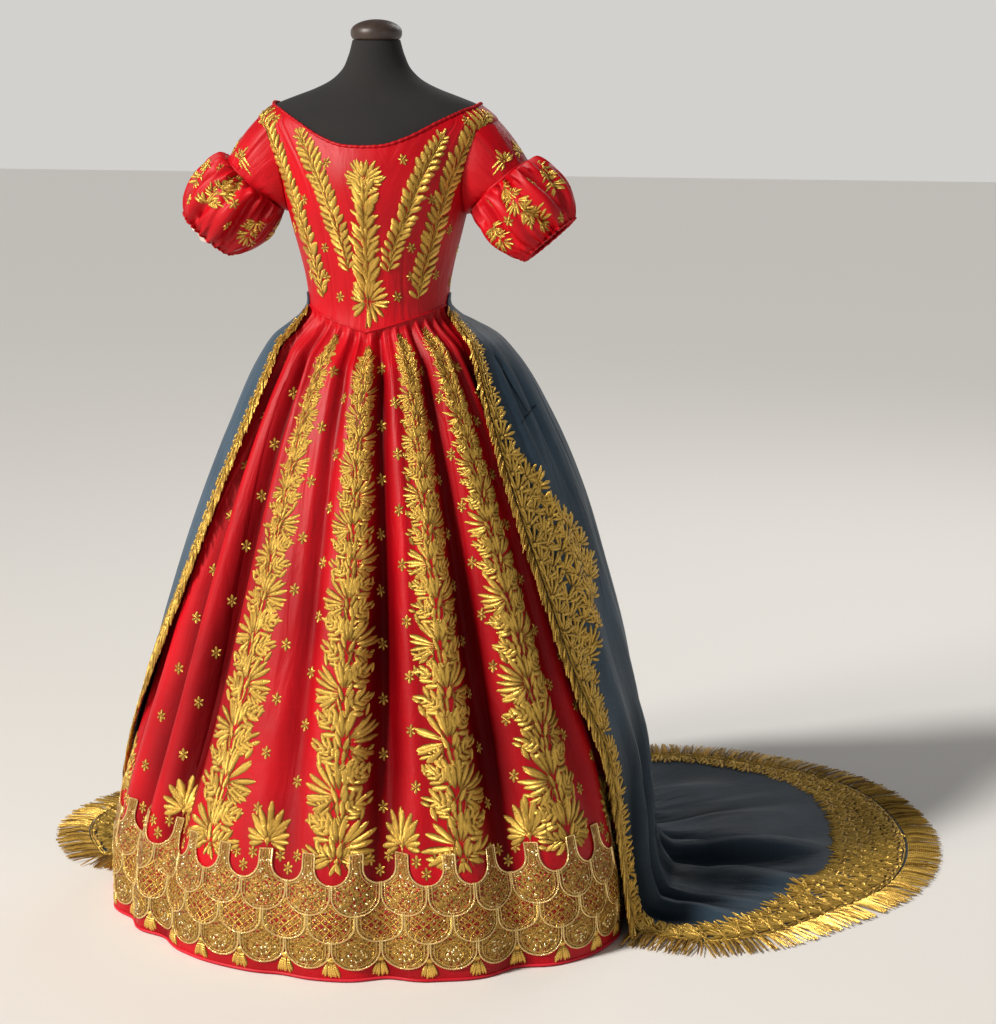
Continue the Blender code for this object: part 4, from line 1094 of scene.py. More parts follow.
def puff_grid(rows, columns):
    """Balloon: rings along the axis, seven lobes, fine gathers at both ends, a few creases."""
    turn = -np.linspace(0, 2 * math.pi, columns, endpoint=False)
    order = np.linspace(0, 6, rows)
    order = order[:, None] + 0 * turn
    along = read(PUFF_RINGS, "along", order, key="order")
    share = read(PUFF_RINGS, "share", order, key="order")
    swell = np.clip((share - 0.5) / 0.5, 0, 1)
    lobes = 1 - PUFF_LOBE_DEPTH * swell * (0.5 - 0.5 * np.cos(PUFF_LOBES * turn))
    ends = np.exp(-(((order - 1.0) / 0.8) ** 2)) + np.exp(-(((order - 5.2) / 0.9) ** 2))
    wander = 31 * turn + 3.0 * np.sin(2 * turn) + 1.4 * np.sin(5 * turn)
    fine = 0.0032 * ends * np.cos(wander)
    for line in PUFF_CREASES:
        x = near_turn(turn, line.turn)
        end = near_turn(line.turn_end, line.turn)
        fine = fine + crease(x + 0 * order, 0.3 * order, (0.0, 0.3 * line.order),
                             (end, 0.3 * line.order_end), line.width, line.depth)
    drift = 0.5 * np.sin(3 * turn) + 0.4 * np.sin(1.7 * order + 2 * turn)
    pleat = (1 - np.abs(np.sin(0.5 * PUFF_PLEATS * turn + drift))) ** 2
    fine = 1.8 * fine - PUFF_PLEAT * pleat * (0.4 + 0.6 * swell)
    radius = PUFF_RADIUS * share * lobes + fine * ease(order / 0.8)
    return sleeve_circle(turn + 0 * order, radius, along + 0.5 * SEAM)


def make_puffs():
    """Balloon sleeves; returns the cloths that the sprays are laid on."""
    outer = puff_grid(PUFF_ROWS, PUFF_COLUMNS)
    inner = outer - WALL * Cloth(closed_ring(outer), ring=True).normal[:, :-1]
    axis = sleeve_frame()[0]
    first = inner[0] - outer[0]
    inner[0] = outer[0] + first - np.outer(first @ axis, axis)
    return both_sides("sleeve_puff_", outer, inner, "gathered", "sleeve_upper_")


LINING_SLIP = 0.010
LINING_SLIP_TURN = 1.6


def make_lining():
    """White lining in the wearer's right cuff, rumpled, with a slip of it out at the front."""
    turn = -np.linspace(0, 2 * math.pi, 64, endpoint=False)
    away = near_turn(turn, LINING_SLIP_TURN)
    slip = LINING_SLIP * np.exp(-((away / 0.75) ** 2)) * (1 + 0.25 * np.cos(11 * turn))
    outer = []
    inner = []
    for share in np.linspace(0, 1, 18):
        along = 0.070 + 0.039 * share
        rumple = 0.0007 * np.cos(9 * turn + 60 * along) + 0.0005 * np.cos(15 * turn - 90 * along)
        size = 0.0411 + rumple + 0.3 * slip * share**4
        outer.append(sleeve_circle(turn, size + 0.0010, along + slip * share**2))
        inner.append(sleeve_circle(turn, size, along + slip * share**2))
    outer = mirror(np.array(outer))
    wall = shell(outer, mirror(np.array(inner)), ring=True)
    lining = put("cuff_lining_right", wall, WHITE_COTTON, "white_lining", "sleeve_lining_right")
    sheet_of(lining, closed_ring(outer), "stretched", ["sleeve_puff_right"])


# Train

TRAIN_LEVELS = (1.0, 0.985, 0.970, 0.950, 0.925, 0.895, 0.80, 0.68, 0.55, 0.42, 0.30, 0.18, 0.09)
FLOOR_SHARES = (0.025, 0.085, 0.20, 0.36, 0.54, 0.72, 0.87, 1.0)
FLOOR_HEIGHTS = (0.040, 0.012, 0.0, 0.0, 0.0, 0.0, 0.0, 0.0)
TRAIN_COLUMNS = 190
TRAIN_SEAM_COLUMNS = (65, 125)
TRAIN_ROWS = 140
FLOOR_SHADE = 0.14
GAP_BESIDE = -0.015
GAP_SHADE = 0.40
SLIT = (
    ((15.0, 12.5), (20.0, 15.0), (25.8, 17.1)),
    ((27.5, 12.1), (26.2, 17.5), (25.2, 22.5)),
)
TRAIN_RESTS = {
    "train_left": ["skirt_side_left"],
    "train_centre": ["skirt_back_left", "skirt_back_right"],
    "train_right": ["skirt_side_right"],
}

# Creases of the train: share of its breadth and place down it, from 0 at the waist to 1
TrainCrease = namedtuple("TrainCrease", "share run share_end run_end width depth")
TRAIN_CREASES = table(TrainCrease, [
    (0.07, 0.08, 0.085, 0.24, 0.006, 0.005), (0.105, 0.1, 0.115, 0.3, 0.005, 0.0045),
    (0.05, 0.16, 0.062, 0.36, 0.005, 0.0035), (0.15, 0.05, 0.165, 0.4, 0.008, 0.0055),
    (0.18, 0.3, 0.17, 0.62, 0.008, 0.005), (0.24, 0.06, 0.25, 0.5, 0.009, 0.006),
    (0.31, 0.2, 0.3, 0.6, 0.009, 0.0055), (0.39, 0.05, 0.395, 0.55, 0.01, 0.006),
    (0.46, 0.15, 0.455, 0.62, 0.009, 0.0055), (0.54, 0.05, 0.545, 0.5, 0.01, 0.006),
    (0.62, 0.18, 0.615, 0.6, 0.009, 0.0055), (0.71, 0.05, 0.705, 0.55, 0.009, 0.0055),
    (0.8, 0.12, 0.795, 0.58, 0.009, 0.005), (0.88, 0.05, 0.89, 0.5, 0.007, 0.0045),
    (0.034, 0.6, 0.028, 0.9, 0.008, -0.012), (0.082, 0.58, 0.058, 0.94, 0.009, -0.018),
    (0.135, 0.57, 0.092, 0.96, 0.0095, -0.022), (0.192, 0.57, 0.135, 0.95, 0.0105, -0.026),
    (0.248, 0.57, 0.188, 0.96, 0.0095, -0.024), (0.3, 0.58, 0.246, 0.9, 0.0085, -0.018),
    (0.345, 0.57, 0.306, 0.96, 0.0105, -0.022), (0.405, 0.58, 0.384, 0.91, 0.009, -0.018),
    (0.468, 0.58, 0.455, 0.95, 0.0105, -0.018), (0.54, 0.6, 0.548, 0.92, 0.006, -0.014),
    (0.622, 0.6, 0.63, 0.92, 0.006, -0.014), (0.708, 0.62, 0.712, 0.9, 0.006, -0.012),
    (0.795, 0.62, 0.798, 0.9, 0.006, -0.01), (0.89, 0.64, 0.892, 0.9, 0.006, -0.008),
])


def standoff(share, z):
    """Distance of the train from the skirt's envelope at a share of its breadth."""
    left = read(STANDOFF, "left", z)
    back = read(STANDOFF, "back", z)
    right = read(STANDOFF, "right", z)
    rim = np.minimum(EDGE_STANDOFF, left)
    value = rim + (left - rim) * ease(share / SHARE_LEFT)
    value = value + (back - left) * ease((share - SHARE_LEFT) / (SHARE_BACK - SHARE_LEFT))
    value = value + (right - back) * ease((share - SHARE_BACK) / (SHARE_RIGHT - SHARE_BACK))
    return value + (rim - right) * ease((share - SHARE_RIGHT) / (1 - SHARE_RIGHT))


def train_angle(share, z):
    """Angle of a train column at a height, between its two front edges."""
    left = read(TRAIN_FRONT, "left", z)
    right = read(TRAIN_FRONT, "right", z)
    return left + (right - left) * share


def train_waves(share, z):
    """Outward swell of the train's folds while it hangs: soft at the waist, deep at the foot."""
    grow = 0.25 + 0.75 * ease((0.95 - z) / 0.75)
    total = 0 * (share + z)
    for ridge in RIDGES:
        away = (share - ridge.share) / ridge.width
        total = total + 0.55 * ridge.height * np.exp(-away * away)
    return total * grow * ease((0.985 - z) / 0.06)


def train_ridges(share, run):
    """Height of the folds on the floor: a soft crest along each, flat again at the border."""
    total = 0 * (share + run)
    for ridge in RIDGES:
        away = (share - ridge.share) / (ridge.width * (1.0 - 0.25 * run))
        along = np.exp(-(((run - ridge.peak) / 0.33) ** 2)) * ease((0.86 - run) / 0.3)
        total = total + ridge.height * np.exp(-away * away) * along
    return total


def train_rows():
    """Middle surface of the train in a few rows: down the skirt and out over the floor."""
    share = np.linspace(0, 1, TRAIN_COLUMNS + 1)
    rows = []
    for level in TRAIN_LEVELS:
        z = level + 0 * share
        out = standoff(share, z) + train_waves(share, z)
        rows.append(bell(train_angle(share, z), z, out))
    foot = bell(train_angle(share, 0 * share), 0 * share, standoff(share, 0 * share))
    foot_swell = train_waves(share, 0 * share)
    angle = REACH_LEFT + (REACH_RIGHT - REACH_LEFT) * share
    reach = read(OUTLINE, "reach", angle, key="angle")
    turn = np.radians(angle)
    edge = np.stack([reach * np.sin(turn), -reach * np.cos(turn), 0 * reach], axis=-1)
    for run, height in zip(FLOOR_SHARES, FLOOR_HEIGHTS):
        spot = foot + (edge - foot) * run
        push = foot_swell * (1 - run) ** 3
        spot = spot + unit(edge - foot) * push[:, None]
        spot[:, 2] = 0.5 * WALL + height + train_ridges(share, run)
        rows.append(spot)
    return np.array(rows)


def train_middle():
    """Fine middle surface: smooth curves through the rows, evenly spaced down the cloth."""
    rows = train_rows()
    gaps = np.linalg.norm(np.diff(rows, axis=0), axis=-1).mean(axis=1)
    places = np.concatenate([[0], np.cumsum(gaps)])
    at = np.linspace(0, places[-1], TRAIN_ROWS + 1)
    grid = smooth(places, rows, at)
    grid[..., 2] = np.maximum(grid[..., 2], 0.5 * WALL)
    return grid, places / places[-1]


def train_crease(line, share, run, width, depth):
    """One crease of the train over its grid of shares and runs."""
    return crease(share + 0 * run, 0.3 * run + 0 * share, (line.share, 0.3 * line.run),
                  (line.share_end, 0.3 * line.run_end), width, depth)


def make_train():
    """Three widths sewn side by side; returns the whole train's cloth and the row places."""
    middle, places = train_middle()
    normal = Cloth(middle).normal
    share = np.linspace(0, 1, TRAIN_COLUMNS + 1)[None, :]
    run = np.linspace(0, 1, TRAIN_ROWS + 1)[:, None]
    lift = 0 * (share + run)
    for line in TRAIN_CREASES:
        lift = lift + train_crease(line, share, run, line.width, line.depth)
    middle = middle + normal * lift[..., None]
    middle[..., 2] = np.maximum(middle[..., 2], 0.5 * WALL)
    normal = Cloth(middle).normal
    outer = middle + 0.5 * WALL * normal
    inner = middle - 0.5 * WALL * normal
    outer[..., 2] = np.maximum(outer[..., 2], WALL)
    inner[..., 2] = np.maximum(inner[..., 2], 0.0)
    lying = middle[..., 2] < 0.5 * WALL + 0.0008
    outer[lying, 2] = np.maximum(outer[lying, 2], WALL)
    inner[lying, 2] = 0.0
    # Painted shade: the silk lying on the floor is darker, and so is a strip beside each ridge on
    # the floor
    tone = 0.5 - FLOOR_SHADE * ease((run - 0.55) / 0.1) + 0 * share
    for line in TRAIN_CREASES:
        if line.depth < 0:
            tone = tone + train_crease(line, share - GAP_BESIDE, run, 0.95 * line.width,
                                       GAP_SHADE)
    tone = np.clip(tone, 0.02, 0.5)
    cuts = (0,) + TRAIN_SEAM_COLUMNS + (TRAIN_COLUMNS,)
    for name, first, last in zip(("train_left", "train_centre", "train_right"), cuts, cuts[1:]):
        part = slice(first, last + 1)
        wall = shell(*seam_drawn(outer[:, part], inner[:, part], first > 0, last < TRAIN_COLUMNS))
        wall = wall._replace(tone=np.tile(tone[:, part].ravel(), 2))
        piece = put(name + "_silk", wall, BLUE_SILK, "blue_silk", name)
        sheet_of(piece, outer[:, part], "hung", TRAIN_RESTS[name])
    return Cloth(outer), Cloth(middle), places


# Fringe

FRINGE_LENGTH = 0.056
STRAND_PITCH = 0.0027
STRAND_RADIUS = 0.0014
STRAND_LOWEST = 0.0019
FRINGE_LEVELS = (0.05, 0.30, 0.60, 0.95)
FRINGE_SHARES = (0.90, 0.66, 0.50, 0.34)


def make_slit():
    """Placket slit at the wearer's left hip, with a bar tack across its foot."""
    parts = []
    for line in SLIT:
        rows, columns = np.array(line).T
        steps = np.linspace(0, len(line) - 1, 24)
        rows = np.interp(steps, range(len(line)), rows)
        columns = np.interp(steps, range(len(line)), columns)
        # The cords take the blue silk at tone 0, its deepest painted shade, standing for the
        # shadow in the slit
        parts.append(cord_along(train, rows, columns, 0.0011, 0.0002, tone=0.0))
    put("train_placket", joined(parts), BLUE_SILK, "blue_silk")


def resampled(line, pitch):
    """Points along a polyline at an even pitch, with the polyline's own index for each."""
    lengths = distances(line)
    count = int(lengths[-1] / pitch)
    at = np.linspace(0, lengths[-1], count)
    index = np.interp(at, lengths, np.arange(len(lengths)))
    return np.stack([np.interp(at, lengths, line[:, axis]) for axis in range(3)], axis=-1), index


def strands(root, way, fall, face, lengths, rng):
    """Twisted strands from roots: they leave along one way and fall towards another."""
    count = len(root)
    share = np.linspace(0, 1, 5)[None, :, None]
    sway = rng.normal(0, 0.10, (count, 1, 1)) + 0.05 * rng.normal(0, 1, (count, 1, 1)) * share
    side = np.cross(face, way)[:, None]
    bent = unit(way[:, None] * (1 - share) + fall[:, None] * share + 0.0001)
    step = (bent + side * sway) * lengths[:, None, None] / 4
    walk = np.cumsum(step, axis=1) - step[:, :1]
    arch = rng.uniform(0.0005, 0.0035, (count, 1, 1)) * np.sin(np.pi * np.sqrt(share))
    paths = root[:, None] + walk + face[:, None] * arch
    radius = STRAND_RADIUS * np.array([1.1, 1.05, 1.0, 0.95, 0.55])
    radius = radius[None] * rng.uniform(0.85, 1.15, (count, 1))
    return paths, radius


def put_fringe(name, paths, radius, side, rng):
    """One fringe from its strands, kept off the floor, each with its own tone."""
    paths[..., 2] = np.clip(paths[..., 2], STRAND_LOWEST, None)
    fringe = tubes(paths, radius, side, sides=4, tone=rng.uniform(0, 1, len(paths)))
    put(name + "_bullion", fringe, GOLD_FRINGE, "gold_bullion", name)


def make_fringes(middle, places):
    """Bullion fringe round the end of the train and down both front edges."""
    rng = np.random.default_rng(RANDOM_SEED)
    grid = middle.grid
    start = int(round(places[len(TRAIN_LEVELS) + 1] * TRAIN_ROWS))
    edge = np.concatenate([grid[start:-1, 0], grid[-1], grid[-2:start - 1:-1, -1]])
    root, _ = resampled(edge, STRAND_PITCH)
    tangent = unit(np.gradient(root, axis=0))
    up = np.array((0.0, 0.0, 1.0))
    out = unit(np.cross(tangent, up))
    out *= np.sign(np.sum(out[len(out) // 2] * root[len(out) // 2]))
    root[:, 2] = 0.0022 + rng.uniform(0, 0.0030, len(root))
    face = np.broadcast_to(up, root.shape)
    lengths = FRINGE_LENGTH * rng.uniform(0.90, 1.06, len(root))
    paths, radius = strands(root + out * 0.001, out, out, face, lengths, rng)
    put_fringe("fringe_end", paths, radius, up, rng)
    edge_fringe("fringe_left_edge", middle, 0, 1, start, rng)
    edge_fringe("fringe_right_edge", middle, TRAIN_COLUMNS, -1, start, rng)


def edge_fringe(name, middle, column, sign, start, rng):
    """Fringe down one front edge: it leaves the edge forwards and falls along the skirt."""
    grid = middle.grid
    first = 2
    line = grid[first:start + 2, column]
    root, index = resampled(line, STRAND_PITCH)
    rows = first + index
    columns = np.full(len(rows), float(column))
    out = -sign * unit(middle.read(middle.across, rows, columns))
    down = unit(middle.read(middle.down, rows, columns))
    face = unit(middle.read(middle.normal, rows, columns))
    lean = unit(0.75 * out + 0.65 * down)
    fall = unit(0.25 * out + 0.97 * down)
    shorter = np.interp(root[:, 2], FRINGE_LEVELS, FRINGE_SHARES)
    lengths = FRINGE_LENGTH * shorter * rng.uniform(0.80, 1.08, len(root))
    away = rng.uniform(0.0005, 0.0025, (len(root), 1))
    paths, radius = strands(root + out * 0.001 + face * away, lean, fall, face, lengths, rng)
    put_fringe(name, paths, radius, face[:, None], rng)


# Dress form

FORM_CLEAR = 0.0048         # the cover lies this far inside the body's surface above the waist
FORM_CLEAR_BELOW = 0.012
FORM_CLEAR_WAIST = 0.0029


def make_form():
    """Smooth black cover of the form with its shoulders and neck, and the wooden cap."""
    angle = np.linspace(0, 360, 97)[:-1]
    rings = []
    for z in np.concatenate([np.linspace(0.84, 1.275, 60), [1.281, 1.294]]):
        near_waist = math.exp(-(((z - WAIST_Z) / 0.012) ** 2))
        away = FORM_CLEAR if z > WAIST_Z else FORM_CLEAR_BELOW
        clear = away + (FORM_CLEAR_WAIST - away) * near_waist
        rings.append(torso(angle, z + 0 * angle, -clear))
    for z in np.linspace(1.298, 1.392, 34):
        sizes = [read(NECK, name, z) for name in ("side", "front", "back")]
        rings.append(oval(angle, z + 0 * angle, *sizes, 0.0))
    cover = capped(np.array(rings)[::-1])
    put("form_cover_jersey", cover, knitted_cover(), "form_cover", "form_torso")
    turn = np.linspace(0, 360, 65)[:-1]
    rings = []
    for radius, z in cap_profile():
        rings.append(oval(turn, z + 0 * turn, radius, radius, radius, 0.0))
    cap = capped(np.array(rings))
    put("form_cap_turned", cap, stained_wood(), "form_cap", "form_cap")
    steel = lacquered_steel()
    for name in ("form_pole", "form_base"):
        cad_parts[name].data.materials.clear()
        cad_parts[name].data.materials.append(steel)


CAP_FOOT = 1.3925
CAP_EDGE = 1.404
CAP_TOP = 1.4235
CAP_RIM = 0.0400
CAP_NECK = 0.034


def cap_profile():
    """Radius and height down the cap: a low dome, a rounded rim, a foot drawn in."""
    profile = []
    for turn in np.linspace(0.02, 1, 14):
        radius = CAP_RIM * math.sin(turn * math.pi / 2)
        profile.append((radius, CAP_EDGE + (CAP_TOP - CAP_EDGE) * math.cos(turn * math.pi / 2)))
    for turn in np.linspace(0.15, 1, 8):
        sweep = turn * math.pi / 2
        profile.append((CAP_NECK + (CAP_RIM - CAP_NECK) * math.cos(sweep),
                        CAP_EDGE - (CAP_EDGE - CAP_FOOT) * math.sin(sweep)))
    return profile


def capped(grid):
    """Closed solid of rings that run down, each end closed by one face."""
    rows, columns = grid.shape[:2]
    index = np.arange(rows * columns).reshape(rows, columns)
    ringed = closed_ring(index)
    faces = [quads(ringed[:-1, :-1], ringed[1:, :-1], ringed[1:, 1:], ringed[:-1, 1:]),
             index[:1], index[-1:, ::-1]]
    return Part(grid.reshape(-1, 3), faces, weave_places(grid), np.full(rows * columns, 0.5))


# Gold work: shapes of one unit, laid on the cloths

Shape = namedtuple("Shape", "points faces tone")


def leaf_shape(rows, belly, across=(-1.0, -0.6, 0.0, 0.6, 1.0),
               rise=(0.0, 0.75, 1.0, 0.75, 0.0), painted_light=(-0.5, 0.0, 0.5, 0.1, -0.5)):
    """Padded leaf one unit long and one wide, pointed at its foot, blunt at its tip.

    Half width is a power of a sine along the leaf. It is flat underneath and domed on top,
    with a highlight painted on the padding's crest, shade painted on its borders and foot, and a
    little more light painted towards its tip.
    """
    along = np.sin(0.5 * np.pi * np.linspace(0, 1, rows + 2)[1:-1, None])
    side = np.array(across)
    width = 0.5 * np.sin(np.pi * along**belly) ** 0.6
    height = np.array(rise) * np.minimum(1, 2.2 * np.sin(np.pi * along))
    grid = np.stack(np.broadcast_arrays(width * side, along, height), axis=-1)
    points = np.concatenate([[(0, 0, 0)], grid.reshape(-1, 3), [(0, 1, 0)]])
    # Painted light: crest lighter, borders and foot darker, lighter towards the tip
    tone = np.concatenate([[-0.3], (np.array(painted_light) + 0.15 * (along - 0.5)).ravel(), [0.1]])
    count = len(side)
    index = 1 + np.arange(rows * count).reshape(rows, count)
    foot = np.zeros(count - 1, int)
    tip = foot + len(points) - 1
    faces = [
        quads(index[:-1, :-1], index[:-1, 1:], index[1:, 1:], index[1:, :-1]),
        quads(index[:-1, -1], index[:-1, 0], index[1:, 0], index[1:, -1]),
        np.stack([foot, index[0, 1:], index[0, :-1]], axis=-1),
        np.stack([index[-1, :-1], index[-1, 1:], tip], axis=-1),
        np.array([(0, index[0, 0], index[0, -1]), (index[-1, -1], index[-1, 0], tip[0])]),
    ]
    return Shape(points, faces, tone)


def bead_shape(sides):
    """Low dome one unit across and one high, on a flat foot."""
    turn = np.linspace(0, 2 * math.pi, sides, endpoint=False)
    foot = np.stack([0.5 * np.cos(turn), 0.5 * np.sin(turn), 0 * turn], axis=-1)
    brow = foot * (0.72, 0.72, 0) + (0, 0, 0.72)
    points = np.concatenate([foot, brow, [(0, 0, 1)]])
    index = np.arange(sides)
    after = np.roll(index, -1)
    faces = [
        quads(index, after, after + sides, index + sides),
        np.stack([index + sides, after + sides, 0 * index + 2 * sides], axis=-1),
        index[None, ::-1],
    ]
    # Painted light: the top of the dome is lighter and its foot darker
    return Shape(points, faces, np.concatenate([0 * turn - 0.2, 0 * turn + 0.1, [0.4]]))


THIN = {"across": (-1.0, 0.0, 1.0), "rise": (0.0, 1.0, 0.0), "painted_light": (-0.5, 0.45, -0.5)}
SHAPES = {
    "petal": leaf_shape(3, 1.45),
    "leaf": leaf_shape(4, 1.15),
    "sliver": leaf_shape(3, 1.30, **THIN),
    "bead": bead_shape(6),
}

# A place for one shape: metres beside and along the way, degrees from it, size in metres
Spot = namedtuple("Spot", "kind aside along turn length width")


def shapes(kind, *rows):
    """Spots of one kind, from its rows."""
    return [Spot(kind, *row) for row in rows]


# Gold work lies this far off its cloth; the padding of a star is this high
WORK_LIFT = 0.0003
STAR_HEIGHT = 0.0012


def lay(cloth, kind, row, column, turn, length, width, height, lift=0.0, tone=0.5):
    """Copies of a shape on a cloth, each turned clockwise from up it, following its surface."""
    shape = SHAPES[kind]
    x = shape.points[:, 0] * width[:, None]
    y = shape.points[:, 1] * length[:, None]
    cosine = np.cos(turn)[:, None]
    sine = np.sin(turn)[:, None]
    row = row[:, None]
    column = column[:, None]
    down, across = cloth.step(row, column, x * cosine + y * sine, y * cosine - x * sine)
    raised = lift + shape.points[:, 2] * np.broadcast_to(height, turn.shape)[:, None]
    points = cloth.point(row + down, column + across, raised)
    start = np.arange(len(turn))[:, None, None] * len(shape.points)
    faces = [(start + face).reshape(-1, face.shape[1]) for face in shape.faces]
    uv = np.stack([x, y], axis=-1).reshape(-1, 2)
    tones = (shape.tone + np.broadcast_to(tone, turn.shape)[:, None]).ravel()
    return Part(points.reshape(-1, 3), faces, uv, tones)


def follow(cloth, rows, columns, along, aside, turn):
    """Places beside a path: metres along it, metres to its right, degrees from its way.

    Gives rows, columns and turns in radians clockwise from up the cloth.
    """
    track = cloth.point(rows, columns)
    lengths = distances(track)
    row = np.interp(along, lengths, rows)
    column = np.interp(along, lengths, columns)
    forward = np.gradient(track, axis=0)
    forward = np.stack([np.interp(along, lengths, forward[:, axis]) for axis in range(3)], axis=-1)
    across = unit(cloth.read(cloth.across, row, column))
    upward = unit(np.cross(cloth.read(cloth.normal, row, column), across))
    heading = np.arctan2(np.sum(forward * across, axis=-1), np.sum(forward * upward, axis=-1))
    down, side = cloth.step(row, column, aside * np.cos(heading), -aside * np.sin(heading))
    return row + down, column + side, heading + np.radians(turn)


def path_length(cloth, rows, columns):
    """Length in metres of a path on a cloth."""
    track = cloth.point(rows, columns)
    return float(np.linalg.norm(np.diff(track, axis=0), axis=-1).sum())


def fan(aside, along, middle, spread, count, length, width, foot=0.14):
    """Petals round one foot, longest in the middle."""
    spots = []
    for share in np.linspace(-1, 1, count):
        turn = math.radians(middle + spread * share)
        size = length * (1 - 0.20 * share**2)
        spots.append(Spot("petal", aside + foot * length * math.sin(turn),
                          along + foot * length * math.cos(turn), math.degrees(turn),
                          size * (1 - foot), width))
    return spots


def frond(aside, along, turn, length, pairs=3, width=0.40):
    """Leaf made of blunt lobes: pairs along its rib and one at its tip."""
    way = math.radians(turn)
    spots = []
    for pair in range(pairs):
        at = length * (0.06 + 0.50 * pair / pairs)
        lobe = length * (0.50 - 0.16 * pair / pairs)
        for side in (-1, 1):
            spots.append(Spot("petal", aside + at * math.sin(way), along + at * math.cos(way),
                              turn + side * (48 - 6 * pair), lobe, width * lobe))
    at = 0.42 * length
    spots.append(Spot("petal", aside + at * math.sin(way), along + at * math.cos(way), turn,
                      0.58 * length, 0.17 * length))
    return spots


def scaled(spots, size, along=0.0, flip=1):
    """The same spots at another size, moved along, and mirrored where flip is -1."""
    return [Spot(spot.kind, flip * size * spot.aside, along + size * spot.along,
                 flip * spot.turn, size * spot.length, size * spot.width) for spot in spots]


def gild(name, parts, finish=GOLD_LEAF):
    """One piece of gold work from its parts."""
    put(name, joined(parts), finish, "gold_bullion")


def embroider(cloth, rows, columns, spots, rng, height=0.22, lift=WORK_LIFT, wander=5.0):
    """All the spots along a path as one part, each a little off its turn, size and tone."""
    parts = []
    for kind in SHAPES:
        chosen = [spot[1:] for spot in spots if spot.kind == kind]
        if not chosen:
            continue
        aside, along, turn, length, width = np.array(chosen).T
        turn = turn + rng.normal(0, wander, len(turn))
        length = length * rng.uniform(0.90, 1.08, len(length))
        aside = aside + rng.normal(0, 0.02, len(turn)) * length
        along = along + rng.normal(0, 0.02, len(turn)) * length
        row, column, heading = follow(cloth, rows, columns, along, aside, turn)
        high = np.clip(height * width, 0.0009, 0.0028)
        tone = rng.uniform(0.28, 0.74, len(turn))
        parts.append(lay(cloth, kind, row, column, heading, length, width, high, lift, tone))
    return joined(parts)


def cord_along(cloth, rows, columns, radius, lift, sides=5, tone=0.5):
    """Cord couched on a cloth along one or more paths of rows and columns."""
    rows = np.atleast_2d(rows)
    columns = np.atleast_2d(columns)
    paths = cloth.point(rows, columns, lift)
    face = unit(cloth.read(cloth.normal, rows, columns))
    return tubes(paths, radius, face, sides=sides, tone=tone)


# Skirt vines: angle at the waist and at the hem
Vine = namedtuple("Vine", "waist hem top")
VINES = table(Vine, [
    (-66, -84, 0.27), (-21.5, -29, 0.945), (2.6, 1.0, 0.93), (25, 27.5, 0.948), (45, 54, 0.955),
    (70, 79, 0.2),
])
VINE_FOOT = 0.175

Width = namedtuple("Width", "z width")

# Width of a vine at a height, in metres
VINE_WIDTHS = table(Width, [
    (0.17, 0.11), (0.25, 0.108), (0.42, 0.096), (0.56, 0.079), (0.7, 0.06), (0.82, 0.045),
    (0.94, 0.03),
])

# One repeat of the vine, in vine widths: a great fan to the right, lobed leaves to the left
VINE_RISE = 0.74
VINE_REPEAT = fan(0.02, 0.17, 52, 76, 10, 0.54, 0.105) + (
    frond(-0.03, 0.00, -70, 0.50) + frond(-0.05, 0.27, -48, 0.52) + frond(-0.02, 0.50, -86, 0.48)
    + frond(0.05, 0.58, 44, 0.46) + frond(0.02, 0.40, 8, 0.34) + frond(0.10, 0.02, 96, 0.40)
) + shapes("leaf",
    (-0.12, 0.36, -6, 0.28, 0.11), (-0.24, 0.1, -30, 0.22, 0.09), (0.3, 0.54, 24, 0.22, 0.09),
    (0.02, 0.04, 18, 0.26, 0.09), (-0.02, 0.1, -22, 0.26, 0.09), (-0.38, 0.42, -20, 0.2, 0.08),
    (-0.36, 0.02, -62, 0.18, 0.08),
) + shapes("sliver",
    (0.34, 0.02, 70, 0.18, 0.07), (0.0, 0.26, 2, 0.3, 0.06), (-0.02, 0.58, -8, 0.26, 0.06),
)

# The foot of a vine: two lobed leaves and a bow of slivers over the bay of the hem
VINE_ROOT = shapes("leaf",
    (0.0, 0.0, 155, 0.24, 0.08), (0.0, 0.0, -155, 0.24, 0.08), (0.0, 0.0, 180, 0.2, 0.07),
) + shapes("bead", (0.0, 0.0, 0, 0.09, 0.09)) + (
    frond(0.02, 0.02, 62, 0.40) + frond(-0.02, 0.02, -62, 0.40))

STAR = shapes("sliver",
    (0.0, 0.0008, 0, 0.0095, 0.0052), (0.0, -0.0008, 180, 0.0095, 0.0052),
    (0.0006, 0.0005, 58, 0.008, 0.0046), (0.0006, -0.0005, 122, 0.008, 0.0046),
    (-0.0006, 0.0005, -58, 0.008, 0.0046), (-0.0006, -0.0005, -122, 0.008, 0.0046),
) + shapes("bead", (0.0, 0.0, 0, 0.0034, 0.0034))

# A palmette in units of its height: a tall middle leaf, pairs beside it and a short stem
PALMETTE = (
    fan(0.0, 0.15, 0, 112, 11, 0.54, 0.160) + fan(0.0, 0.22, 0, 46, 5, 0.72, 0.170, foot=0.08)
    + fan(0.0, 0.13, 0, 66, 6, 0.32, 0.100) + shapes("petal", (0.0, 0.40, 0, 0.56, 0.15))
    + shapes("sliver", (0.0, 0.0, 0, 0.24, 0.07)) + shapes("bead", (0.0, 0.15, 0, 0.13, 0.13)))

SLEEVE_FAN = (
    fan(0.0, 0.25, 0, 118, 9, 0.52, 0.150) + shapes("petal", (0.0, 0.48, 0, 0.50, 0.15))
    + shapes("bead", (0.0, 0.25, 0, 0.14, 0.14)))

